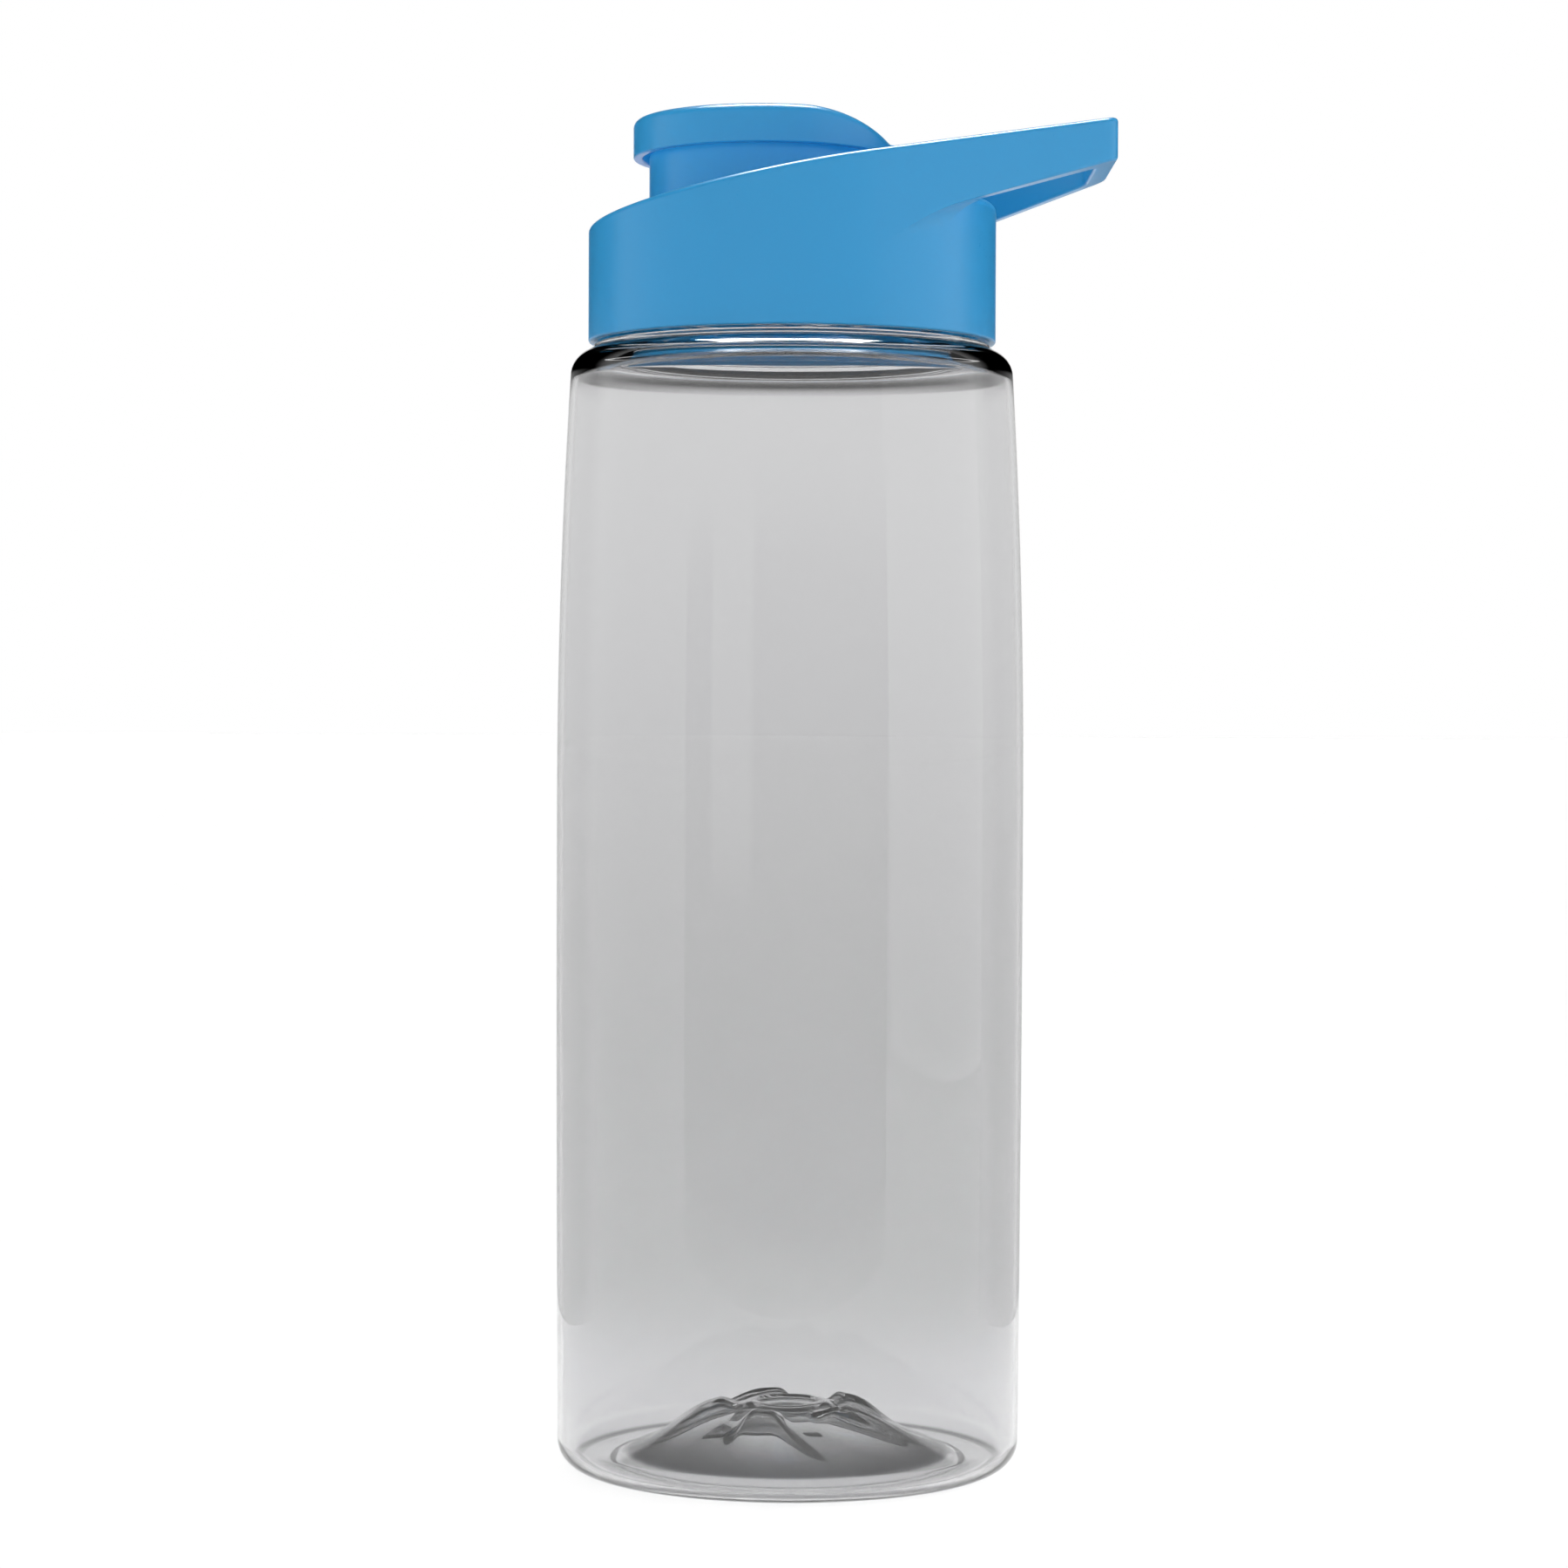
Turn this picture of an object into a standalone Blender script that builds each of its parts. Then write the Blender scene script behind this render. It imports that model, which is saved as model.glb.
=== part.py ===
"""Sports bottle with a clear blow-moulded body and a screw lid.

The lid is one moulding: a skirt with an inside thread, a sloping deck, a wide drinking
spout, and two side walls that rise towards the back and run out into a carry loop.
A round cap is hinged behind the spout and plugs it with a silicone ring.

Lengths are in metres, +Z is up and the carry loop points along +X. The origin is on the
standing surface, under the middle of the whole outline, so the bottle's own axis is a
little to its left. Pieces are built around that axis and hang from an empty on it.
"""
import math

import bmesh
import bpy

MM = 0.001
GAP = 0.3 * MM

# Body
BODY_RADIUS = 38.17 * MM
BELLY_Z = 110.0 * MM
SHOULDER_TAPER = 2.0 * MM
FOOT_TAPER = 0.45 * MM
WALL = 1.0 * MM
HEEL_RADIUS = 4.5 * MM
SHOULDER_RADIUS = 4.3 * MM
SHOULDER_Z = 177.9 * MM
FOOT_RING_RADIUS = 28.6 * MM
FOOT_STEP = 0.6 * MM
FOOT_STEP_Z = 1.2 * MM
DOME_RADIUS = 25.7 * MM
DOME_FOOT_Z = 2.6 * MM
DOME_TOP_RADIUS = 8.8 * MM
DOME_TOP_Z = 9.6 * MM

# Neck
NECK_RADIUS = 30.0 * MM
NECK_BORE_RADIUS = 27.8 * MM
NECK_TOP_Z = 197.9 * MM
BEAD_RADIUS = 32.4 * MM
BEAD_TOP_Z = 183.0 * MM

# Screw thread
PITCH = 5.0 * MM
THREAD_TURNS = 1.4
THREAD_DEPTH = 1.2 * MM
THREAD_ROOT_WIDTH = 2.4 * MM
THREAD_CREST_WIDTH = 1.0 * MM
THREAD_ROOT_SINK = 0.3 * MM
NECK_THREAD_Z = 187.5 * MM
LID_THREAD_Z = NECK_THREAD_Z - PITCH / 2

# Lid skirt, deck and rim
SKIRT_RADIUS = 33.25 * MM
SKIRT_INNER_RADIUS = 31.7 * MM
SKIRT_BOTTOM_Z = 183.4 * MM
LAND_Z = 199.6 * MM
LAND_INNER_RADIUS = 26.5 * MM
RIM_Z = 208.55 * MM
RIM_SLOPE = 0.198
DECK_Z = 203.6 * MM
DECK_SLOPE = 0.077
DECK_THICKNESS = 1.6 * MM
RECESS_RADIUS = 31.3 * MM

# Carry loop
LOOP_REACH = 52.2 * MM
LOOP_TANGENT_ANGLE = math.radians(66.0)
LOOP_CORNER_RADIUS = 3.0 * MM
LOOP_END_BAR = 3.7 * MM
LOOP_HOLE_LEAD_X = 16.7 * MM
LOOP_HOLE_CORNER = 2.5 * MM
LOOP_HOLE_SLOPE = -0.526
LOOP_UNDERSIDE_Z = 211.6 * MM
LOOP_UNDERSIDE_X = 51.0 * MM
LOOP_UNDERSIDE_SLOPE = 0.331

# Spout
SPOUT_X = -4.5 * MM
SPOUT_RADIUS = 18.9 * MM
SPOUT_BORE_RADIUS = 17.0 * MM
SPOUT_TOP_Z = 214.0 * MM

# Flip cap
CAP_RADIUS = 21.5 * MM
CAP_INNER_RADIUS = 20.0 * MM
CAP_BOTTOM_Z = 213.3 * MM
CAP_TOP_Z = 219.5 * MM
CAP_TOP_THICKNESS = 1.5 * MM
CAP_CREST_X = 1.0 * MM
CAP_SLOPE_RADIUS = 28.2 * MM
CAP_SLOPE_END_X = 15.0 * MM
CAP_SLOPE_FOOT_X = 30.0 * MM
CAP_SLOPE_FOOT_Z = 214.9 * MM
PLUG_RADIUS = 14.1 * MM
PLUG_BORE_RADIUS = 12.6 * MM
PLUG_FLANGE_RADIUS = 15.0 * MM
PLUG_BOTTOM_Z = 212.1 * MM
PLUG_FLANGE_TOP_Z = 212.5 * MM
PLUG_COLLAR_Z = 215.2 * MM
PLUG_TOP_Z = 217.8 * MM

# Cap hinge
HINGE_X = 20.5 * MM
HINGE_Z = 212.0 * MM
KNUCKLE_RADIUS = 2.8 * MM
KNUCKLE_HALF_WIDTH = 6.0 * MM
WEB_START_X = 15.6 * MM
WEB_END_X = 18.2 * MM
WEB_TOP_Z = 215.1 * MM
WEB_BOTTOM_Z = 213.5 * MM
LUG_INNER_Y = KNUCKLE_HALF_WIDTH + GAP
LUG_OUTER_Y = 9.5 * MM
LUG_RADIUS = 3.0 * MM
LUG_FOOT_Z = 204.3 * MM
PIN_RADIUS = 1.0 * MM
PIN_HOLE_RADIUS = 1.25 * MM
PIN_HALF_LENGTH = 9.3 * MM
PIN_STEPS = 16

# Seals
GASKET_INNER_RADIUS = 27.4 * MM
GASKET_OUTER_RADIUS = 31.0 * MM
SEAL_RING_RADIUS = 15.4 * MM
SEAL_CORD_RADIUS = 1.0 * MM
SEAL_Z = 213.85 * MM

# The bottle's axis, so that the outline's middle is at X = 0
AXIS_X = (BODY_RADIUS - LOOP_REACH) / 2

BODY_STEPS = 48
LID_STEPS = 60
THREAD_STEPS_PER_TURN = 32

# Where cutters start and end, clear of what they cut
FAR = 60.0 * MM
CUT_LOW_Z = 160.0 * MM
CUT_HIGH_Z = 240.0 * MM
GUARD_MARGIN = 10.0 * MM


def clear_scene():
    """Remove the objects that the file opened with."""
    for obj in list(bpy.data.objects):
        bpy.data.objects.remove(obj, do_unlink=True)


def make_collection(name):
    """Return a new collection in the scene."""
    collection = bpy.data.collections.new(name)
    bpy.context.scene.collection.children.link(collection)
    return collection


def make_empty(name, location, parent=None):
    """Return an empty that marks an axis."""
    empty = bpy.data.objects.new(name, None)
    empty.location = location
    empty.parent = parent
    empty.empty_display_size = 10 * MM
    BOTTLE.objects.link(empty)
    return empty


def make_material(name, color, roughness, alpha=1.0):
    """Return a Principled material for moulded plastic or rubber."""
    material = bpy.data.materials.new(name)
    material.use_nodes = True
    shader = material.node_tree.nodes["Principled BSDF"]
    shader.inputs["Base Color"].default_value = (*color, 1.0)
    shader.inputs["Roughness"].default_value = roughness
    shader.inputs["Metallic"].default_value = 0.0
    shader.inputs["Alpha"].default_value = alpha
    return material


def add_object(name, bm, parent, material=None):
    """Turn a bmesh into an object: a part if it has a material, or else a cutter."""
    mesh = bpy.data.meshes.new(name)
    bm.to_mesh(mesh)
    bm.free()
    obj = bpy.data.objects.new(name, mesh)
    obj.parent = parent
    if material is None:
        CUTTERS.objects.link(obj)
        obj.hide_render = True
        obj.display_type = "WIRE"
    else:
        BOTTLE.objects.link(obj)
        mesh.materials.append(material)
    return obj


def boolean(target, tool, operation="DIFFERENCE"):
    """Cut a target with a tool, or join the tool to it."""
    modifier = target.modifiers.new(tool.name, "BOOLEAN")
    modifier.operation = operation
    modifier.solver = "EXACT"
    modifier.object = tool


def turned(name, profile, steps, parent, material=None, closed=False):
    """Turn a profile of (radius, height) points about the object's Z axis."""
    bm = bmesh.new()
    verts = [bm.verts.new((radius, 0, height)) for radius, height in profile]
    for first, second in zip(verts, verts[1:]):
        bm.edges.new((first, second))
    if closed:
        bm.edges.new((verts[-1], verts[0]))
    obj = add_object(name, bm, parent, material)
    screw = obj.modifiers.new("turn", "SCREW")
    screw.axis = "Z"
    screw.steps = steps
    screw.render_steps = steps
    screw.use_merge_vertices = True
    screw.merge_threshold = 0.00001
    return obj


def prism(name, outline, low, high, parent, material=None):
    """Extrude a plan outline between two planes, each given as a height at X."""
    bm = bmesh.new()
    floor = bm.faces.new([bm.verts.new((x, y, low(x))) for x, y in outline])
    extruded = bmesh.ops.extrude_face_region(bm, geom=[floor], use_keep_orig=True)
    for vert in extruded["geom"]:
        if isinstance(vert, bmesh.types.BMVert):
            vert.co.z = high(vert.co.x)
    bmesh.ops.recalc_face_normals(bm, faces=bm.faces)
    return add_object(name, bm, parent, material)


def side_prism(name, outline, low_y, high_y, parent, material=None):
    """Extrude an outline of (x, z) points along Y."""
    bm = bmesh.new()
    side = bm.faces.new([bm.verts.new((x, low_y, z)) for x, z in outline])
    extruded = bmesh.ops.extrude_face_region(bm, geom=[side], use_keep_orig=True)
    for vert in extruded["geom"]:
        if isinstance(vert, bmesh.types.BMVert):
            vert.co.y = high_y
    bmesh.ops.recalc_face_normals(bm, faces=bm.faces)
    return add_object(name, bm, parent, material)


def level(height):
    """Return a level plane."""
    return lambda x: height


def arc(center, radius, start, end, count):
    """Return count + 1 points on an arc, with its angles in degrees."""
    points = []
    for index in range(count + 1):
        angle = math.radians(start + (end - start) * index / count)
        points.append((center[0] + radius * math.cos(angle), center[1] + radius * math.sin(angle)))
    return points


def circle(radius, x=0.0, steps=LID_STEPS):
    """Return a circle's outline about a point on the X axis."""
    return arc((x, 0.0), radius, 0, 360, steps)[:-1]


def body_radius(z):
    """Return the body's outside radius: a shallow barrel, fullest at the belly."""
    if z > BELLY_Z:
        share = (z - BELLY_Z) / (SHOULDER_Z - BELLY_Z)
        return BODY_RADIUS - SHOULDER_TAPER * share ** 2
    share = (BELLY_Z - z) / (BELLY_Z - HEEL_RADIUS)
    return BODY_RADIUS - FOOT_TAPER * share ** 2


def dome(lift, count):
    """Return the push-up under the base, from its middle to its foot."""
    points = [(0.0, DOME_TOP_Z + lift)]
    for index in range(count + 1):
        share = index / count
        radius = DOME_TOP_RADIUS + (DOME_RADIUS - DOME_TOP_RADIUS) * share
        height = DOME_FOOT_Z + (DOME_TOP_Z - DOME_FOOT_Z) * (1 - share ** 2)
        points.append((radius, height + lift))
    return points


def body_profile():
    """Return the body's section: down the outside, under the base, and up the inside."""
    shoulder_x = body_radius(SHOULDER_Z) - SHOULDER_RADIUS
    heel_x = body_radius(HEEL_RADIUS) - HEEL_RADIUS
    heights = [SHOULDER_Z + (BELLY_Z - SHOULDER_Z) * step / 4 for step in range(1, 5)]
    heights += [BELLY_Z + (HEEL_RADIUS - BELLY_Z) * step / 3 for step in range(1, 3)]
    inner_heights = heights[::-1]
    bead_foot_z = SHOULDER_Z + SHOULDER_RADIUS
    profile = [(NECK_RADIUS, NECK_TOP_Z)]
    profile += [(NECK_RADIUS, BEAD_TOP_Z), (BEAD_RADIUS, BEAD_TOP_Z), (BEAD_RADIUS, bead_foot_z)]
    profile += arc((shoulder_x, SHOULDER_Z), SHOULDER_RADIUS, 80, 0, 5)
    profile += [(body_radius(z), z) for z in heights]
    profile += arc((heel_x, HEEL_RADIUS), HEEL_RADIUS, 0, -90, 5)
    profile += [(FOOT_RING_RADIUS, 0.0), (FOOT_RING_RADIUS - FOOT_STEP, FOOT_STEP_Z)]
    profile += dome(0.0, 5)[::-1]
    profile += dome(WALL, 5)
    profile += arc((heel_x, HEEL_RADIUS), HEEL_RADIUS - WALL, -90, 0, 4)
    profile += [(body_radius(z) - WALL, z) for z in inner_heights]
    profile += arc((shoulder_x, SHOULDER_Z), SHOULDER_RADIUS - WALL, 0, 90, 4)
    profile += [(NECK_BORE_RADIUS, bead_foot_z - WALL), (NECK_BORE_RADIUS, NECK_TOP_Z)]
    profile += [profile[0]]
    return profile


def thread_ridge(name, root_radius, crest_radius, start_z, parent):
    """Return a ridge of trapezium section that climbs to the left, a right-hand thread."""
    half_root = THREAD_ROOT_WIDTH / 2
    half_crest = THREAD_CREST_WIDTH / 2
    section = [
        (root_radius, start_z - half_root),
        (crest_radius, start_z - half_crest),
        (crest_radius, start_z + half_crest),
        (root_radius, start_z + half_root),
    ]
    steps = round(THREAD_TURNS * THREAD_STEPS_PER_TURN)
    bm = bmesh.new()
    face = bm.faces.new([bm.verts.new((radius, 0, z)) for radius, z in section])
    bmesh.ops.spin(
        bm,
        geom=[face],
        cent=(0, 0, 0),
        axis=(0, 0, 1),
        dvec=(0, 0, THREAD_TURNS * PITCH / steps),
        angle=THREAD_TURNS * math.tau,
        steps=steps,
    )
    bmesh.ops.recalc_face_normals(bm, faces=bm.faces)
    return add_object(name, bm, parent)


def rim(x):
    """Return the height of the lid's sloping rim, which runs on along the carry loop."""
    return RIM_Z + RIM_SLOPE * x


def deck(x):
    """Return the height of the deck around the spout."""
    return DECK_Z + DECK_SLOPE * x


def deck_underside(x):
    """Return the height of the deck's lower face."""
    return deck(x) - DECK_THICKNESS


def loop_underside(x):
    """Return the height of the carry loop's lower face."""
    return LOOP_UNDERSIDE_Z + LOOP_UNDERSIDE_SLOPE * (x - LOOP_UNDERSIDE_X)


def mirrored(half):
    """Close a half outline on +Y, given from the back to the front, with its mirror image."""
    return half + [(x, -y) for x, y in half[::-1]]


def lid_outline():
    """Return the lid's plan: the round skirt, drawn out into the loop on two tangents."""
    tangent = LOOP_TANGENT_ANGLE
    start = (SKIRT_RADIUS * math.cos(tangent), SKIRT_RADIUS * math.sin(tangent))
    steps_left = round((180 - math.degrees(tangent)) * LID_STEPS / 360)
    around = arc((0.0, 0.0), SKIRT_RADIUS, 180, math.degrees(tangent), steps_left)[1:]
    corner_x = LOOP_REACH - LOOP_CORNER_RADIUS
    normal = (math.cos(tangent), math.sin(tangent))
    edge_y = (SKIRT_RADIUS - corner_x * normal[0]) / normal[1]
    corner_y = edge_y - LOOP_CORNER_RADIUS / normal[1]
    corner = arc((corner_x, corner_y), LOOP_CORNER_RADIUS, math.degrees(tangent), 0, 4)
    half = around[:-1] + [start] + corner
    return [(-SKIRT_RADIUS, 0.0)] + mirrored(half)


def recess_outline():
    """Return the plan of the recess between the side walls, through to the loop's end."""
    lead_y = math.sqrt(RECESS_RADIUS ** 2 - LOOP_HOLE_LEAD_X ** 2)
    lead_angle = math.degrees(math.atan2(lead_y, LOOP_HOLE_LEAD_X))
    around = arc((0.0, 0.0), RECESS_RADIUS, 180, lead_angle, 18)[1:]
    slant = math.atan(LOOP_HOLE_SLOPE)
    corner_x = LOOP_REACH - LOOP_END_BAR - LOOP_HOLE_CORNER
    edge_y = lead_y + LOOP_HOLE_SLOPE * (corner_x - LOOP_HOLE_LEAD_X)
    corner_y = edge_y - LOOP_HOLE_CORNER / math.cos(slant)
    corner = arc((corner_x, corner_y), LOOP_HOLE_CORNER, 90 + math.degrees(slant), 0, 4)
    return [(-RECESS_RADIUS, 0.0)] + mirrored(around + corner)


def lug_outline():
    """Return a hinge lug's side view, with a round top about the hinge axis."""
    top = arc((HINGE_X, HINGE_Z), LUG_RADIUS, 0, 180, 8)
    return [(HINGE_X + LUG_RADIUS, LUG_FOOT_Z)] + top + [(HINGE_X - LUG_RADIUS, LUG_FOOT_Z)]


def pin_hole_outline():
    """Return the side view of the hinge pin's hole."""
    hole = circle(PIN_HOLE_RADIUS, steps=PIN_STEPS)
    return [(HINGE_X + x, HINGE_Z + z) for x, z in hole]


def make_bottle_body(parent):
    """Make the clear body with the ridge of its neck thread."""
    material = make_material("clear_smoke_plastic", (0.58, 0.58, 0.59), 0.08, 0.35)
    body = turned("bottle_body", body_profile(), BODY_STEPS, parent, material)
    root = NECK_RADIUS - THREAD_ROOT_SINK
    ridge = thread_ridge("neck_ridge", root, NECK_RADIUS + THREAD_DEPTH, NECK_THREAD_Z, parent)
    boolean(body, ridge, "UNION")


def make_lid_shell(parent):
    """Make the lid: skirt, deck, side walls, carry loop, spout and hinge lugs in one."""
    lid = prism("lid_shell", lid_outline(), level(SKIRT_BOTTOM_Z), rim, parent, BLUE)
    guard_low = level(CUT_LOW_Z - GUARD_MARGIN)
    guard_high = level(CUT_HIGH_Z + GUARD_MARGIN)
    guard = prism("skirt_guard", circle(SKIRT_RADIUS), guard_low, guard_high, parent)
    tangent_x = SKIRT_RADIUS * math.cos(LOOP_TANGENT_ANGLE)
    below = [(tangent_x, -FAR), (FAR, -FAR), (FAR, FAR), (tangent_x, FAR)]
    under_loop = prism("under_loop", below, level(CUT_LOW_Z), loop_underside, parent)
    boolean(under_loop, guard)
    boolean(lid, under_loop)
    recess = prism("recess", recess_outline(), level(CUT_LOW_Z), level(CUT_HIGH_Z), parent)
    boolean(recess, prism("deck_block", circle(SKIRT_RADIUS), guard_low, deck, parent))
    boolean(lid, recess)
    spout_foot_z = deck(SPOUT_X - SPOUT_RADIUS) - DECK_THICKNESS / 2
    spout_plan = circle(SPOUT_RADIUS, SPOUT_X)
    spout = prism("spout", spout_plan, level(spout_foot_z), level(SPOUT_TOP_Z), parent)
    boolean(lid, spout, "UNION")
    for side, name in ((1, "left"), (-1, "right")):
        low_y, high_y = sorted((side * LUG_INNER_Y, side * LUG_OUTER_Y))
        boolean(lid, side_prism(name + "_lug", lug_outline(), low_y, high_y, parent), "UNION")
    low = level(CUT_LOW_Z)
    boolean(lid, prism("neck_room", circle(SKIRT_INNER_RADIUS), low, level(LAND_Z), parent))
    boolean(lid, prism("deck_room", circle(LAND_INNER_RADIUS), low, deck_underside, parent))
    bore = circle(SPOUT_BORE_RADIUS, SPOUT_X)
    boolean(lid, prism("spout_bore", bore, low, level(CUT_HIGH_Z), parent))
    past_lugs = LUG_OUTER_Y + GUARD_MARGIN / 2
    boolean(lid, side_prism("lug_holes", pin_hole_outline(), -past_lugs, past_lugs, parent))
    root = SKIRT_INNER_RADIUS + THREAD_ROOT_SINK
    crest = SKIRT_INNER_RADIUS - THREAD_DEPTH
    boolean(lid, thread_ridge("lid_ridge", root, crest, LID_THREAD_Z, parent), "UNION")


def slope_arc(drop):
    """Return the cap's top line behind its crest, lowered by drop."""
    center = (CAP_CREST_X, CAP_TOP_Z - CAP_SLOPE_RADIUS)
    radius = CAP_SLOPE_RADIUS - drop
    end = math.degrees(math.acos((CAP_SLOPE_END_X - CAP_CREST_X) / radius))
    return arc(center, radius, 90, end, 6)


def make_flip_cap(parent):
    """Make the cap: a shallow cup that slopes to its hinge, with a plug inside."""
    axis_shift = (-HINGE_X, 0, -HINGE_Z)
    cut_back = [(FAR, CUT_HIGH_Z), (CAP_CREST_X, CUT_HIGH_Z)]
    plan = circle(CAP_RADIUS, SPOUT_X)
    cap = prism("flip_cap", plan, level(CAP_BOTTOM_Z), level(CAP_TOP_Z), parent, BLUE)
    top_line = slope_arc(0.0) + [(CAP_SLOPE_FOOT_X, CAP_SLOPE_FOOT_Z)]
    above = side_prism("above_slope", top_line + cut_back, -FAR, FAR, parent)
    boolean(cap, above)
    hollow_plan = circle(CAP_INNER_RADIUS, SPOUT_X)
    ceiling = CAP_TOP_Z - CAP_TOP_THICKNESS
    hollow = prism("cap_hollow", hollow_plan, level(CUT_LOW_Z), level(ceiling), parent)
    ceiling_line = slope_arc(CAP_TOP_THICKNESS) + [(CAP_SLOPE_FOOT_X, CAP_BOTTOM_Z)]
    above_ceiling = side_prism("above_ceiling", ceiling_line + cut_back, -FAR, FAR, parent)
    boolean(hollow, above_ceiling)
    boolean(cap, hollow)
    plug_profile = [
        (PLUG_FLANGE_RADIUS, PLUG_TOP_Z),
        (PLUG_FLANGE_RADIUS, PLUG_COLLAR_Z),
        (PLUG_RADIUS, PLUG_COLLAR_Z),
        (PLUG_RADIUS, PLUG_FLANGE_TOP_Z),
        (PLUG_FLANGE_RADIUS, PLUG_FLANGE_TOP_Z),
        (PLUG_FLANGE_RADIUS, PLUG_BOTTOM_Z),
        (PLUG_BORE_RADIUS, PLUG_BOTTOM_Z),
        (PLUG_BORE_RADIUS, PLUG_TOP_Z),
    ]
    plug = turned("plug", plug_profile, BODY_STEPS, parent, closed=True)
    boolean(cap, plug, "UNION")
    knuckle = arc((HINGE_X, HINGE_Z), KNUCKLE_RADIUS, -150, 90, 16)
    web = [(WEB_START_X, WEB_TOP_Z), (WEB_START_X, WEB_BOTTOM_Z), (WEB_END_X, WEB_BOTTOM_Z)]
    hinge = side_prism("knuckle", knuckle + web, -KNUCKLE_HALF_WIDTH, KNUCKLE_HALF_WIDTH, parent)
    boolean(cap, hinge, "UNION")
    pin_bore = side_prism("knuckle_bore", pin_hole_outline(), -FAR, FAR, parent)
    boolean(cap, pin_bore)
    for obj in (cap, above, hollow, above_ceiling, hinge, pin_bore):
        obj.location = axis_shift
    plug.location = (SPOUT_X - HINGE_X, 0, -HINGE_Z)


def make_hinge_pin(parent):
    """Make the pin that the cap turns on, held in the lid's lugs."""
    outline = circle(PIN_RADIUS, steps=PIN_STEPS)
    side_prism("hinge_pin", outline, -PIN_HALF_LENGTH, PIN_HALF_LENGTH, parent, WHITE)


def make_seals(axis, hinge):
    """Make the flat ring under the deck and the ring in the plug's groove."""
    top_z = LAND_Z - GAP
    bottom_z = NECK_TOP_Z + GAP
    gasket_profile = [
        (GASKET_OUTER_RADIUS, top_z),
        (GASKET_OUTER_RADIUS, bottom_z),
        (GASKET_INNER_RADIUS, bottom_z),
        (GASKET_INNER_RADIUS, top_z),
    ]
    silicone = make_material("clear_silicone", (0.8, 0.81, 0.82), 0.45)
    turned("lid_gasket", gasket_profile, BODY_STEPS, axis, silicone, closed=True)
    section = arc((SEAL_RING_RADIUS, 0.0), SEAL_CORD_RADIUS, 360, 0, 8)[:-1]
    seal = turned("spout_seal", section, BODY_STEPS, hinge, silicone, closed=True)
    seal.location = (SPOUT_X - HINGE_X, 0, SEAL_Z - HINGE_Z)


clear_scene()
BOTTLE = make_collection("sports_bottle")
CUTTERS = make_collection("cutters")
BLUE = make_material("sky_blue_plastic", (0.053, 0.33, 0.62), 0.32)
WHITE = make_material("white_plastic", (0.75, 0.76, 0.77), 0.4)
axis_empty = make_empty("bottle_axis", (AXIS_X, 0, 0))
hinge_empty = make_empty("cap_hinge", (HINGE_X, 0, HINGE_Z), axis_empty)
make_bottle_body(axis_empty)
make_lid_shell(axis_empty)
make_flip_cap(hinge_empty)
make_hinge_pin(hinge_empty)
make_seals(axis_empty, hinge_empty)
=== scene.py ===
"""Sports bottle: a clear smoke body, a sky-blue screw lid with a carry loop, and a flip cap.

The pieces are turned or cut with bmesh around the bottle's axis, in metres. The camera
looks along +Y, and the carry loop points along +X.
"""
import math

import bmesh
import bpy
from mathutils import Matrix, Vector


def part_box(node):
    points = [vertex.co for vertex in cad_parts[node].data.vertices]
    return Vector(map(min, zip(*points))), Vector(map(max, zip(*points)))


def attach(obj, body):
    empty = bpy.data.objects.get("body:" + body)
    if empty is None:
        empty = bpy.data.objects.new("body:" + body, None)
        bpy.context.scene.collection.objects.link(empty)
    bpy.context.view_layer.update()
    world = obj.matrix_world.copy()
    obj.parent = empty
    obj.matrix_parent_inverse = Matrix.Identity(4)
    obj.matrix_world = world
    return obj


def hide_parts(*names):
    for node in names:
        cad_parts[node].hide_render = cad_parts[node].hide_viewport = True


bl_info = {
    "name": "Sports bottle",
    "version": (1, 0, 0),
    "blender": (4, 5, 0),
    "location": "View3D > Sidebar > Bottle",
    "description": "Builds a clear sports bottle with a screw lid and a flip cap",
    "category": "Add Mesh",
}

MM = 0.001
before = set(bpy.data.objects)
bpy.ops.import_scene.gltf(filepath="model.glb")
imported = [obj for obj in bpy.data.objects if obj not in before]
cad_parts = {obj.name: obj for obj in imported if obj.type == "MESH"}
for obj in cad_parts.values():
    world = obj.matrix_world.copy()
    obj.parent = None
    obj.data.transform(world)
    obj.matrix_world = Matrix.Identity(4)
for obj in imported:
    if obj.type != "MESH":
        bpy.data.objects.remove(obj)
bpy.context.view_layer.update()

BODY_LOW, BODY_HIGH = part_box("bottle_body")
LID_LOW, LID_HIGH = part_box("lid_shell")
CAP_LOW, CAP_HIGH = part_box("flip_cap")
GASKET_LOW, GASKET_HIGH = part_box("lid_gasket")
SEAL_LOW, SEAL_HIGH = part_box("spout_seal")
PIN_LOW, PIN_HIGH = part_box("hinge_pin")

AXIS_X = (BODY_LOW.x + BODY_HIGH.x) / 2
BODY_RADIUS = (BODY_HIGH.x - BODY_LOW.x) / 2
SKIRT_RADIUS = AXIS_X - LID_LOW.x
LOOP_REACH = LID_HIGH.x - AXIS_X
SPOUT_X = (SEAL_LOW.x + SEAL_HIGH.x) / 2 - AXIS_X
CAP_RADIUS = AXIS_X + SPOUT_X - CAP_LOW.x
HINGE_X = (PIN_LOW.x + PIN_HIGH.x) / 2 - AXIS_X
HINGE_Z = (PIN_LOW.z + PIN_HIGH.z) / 2


def length(name, description, default):
    """Return a property for a length."""
    return bpy.props.FloatProperty(
        name=name,
        description=description,
        default=default,
        min=0.0,
        unit="LENGTH",
        subtype="DISTANCE",
        precision=5,
    )


def number(name, description, default):
    """Return a property for a plain number."""
    return bpy.props.FloatProperty(name=name, description=description, default=default, precision=4)


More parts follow.
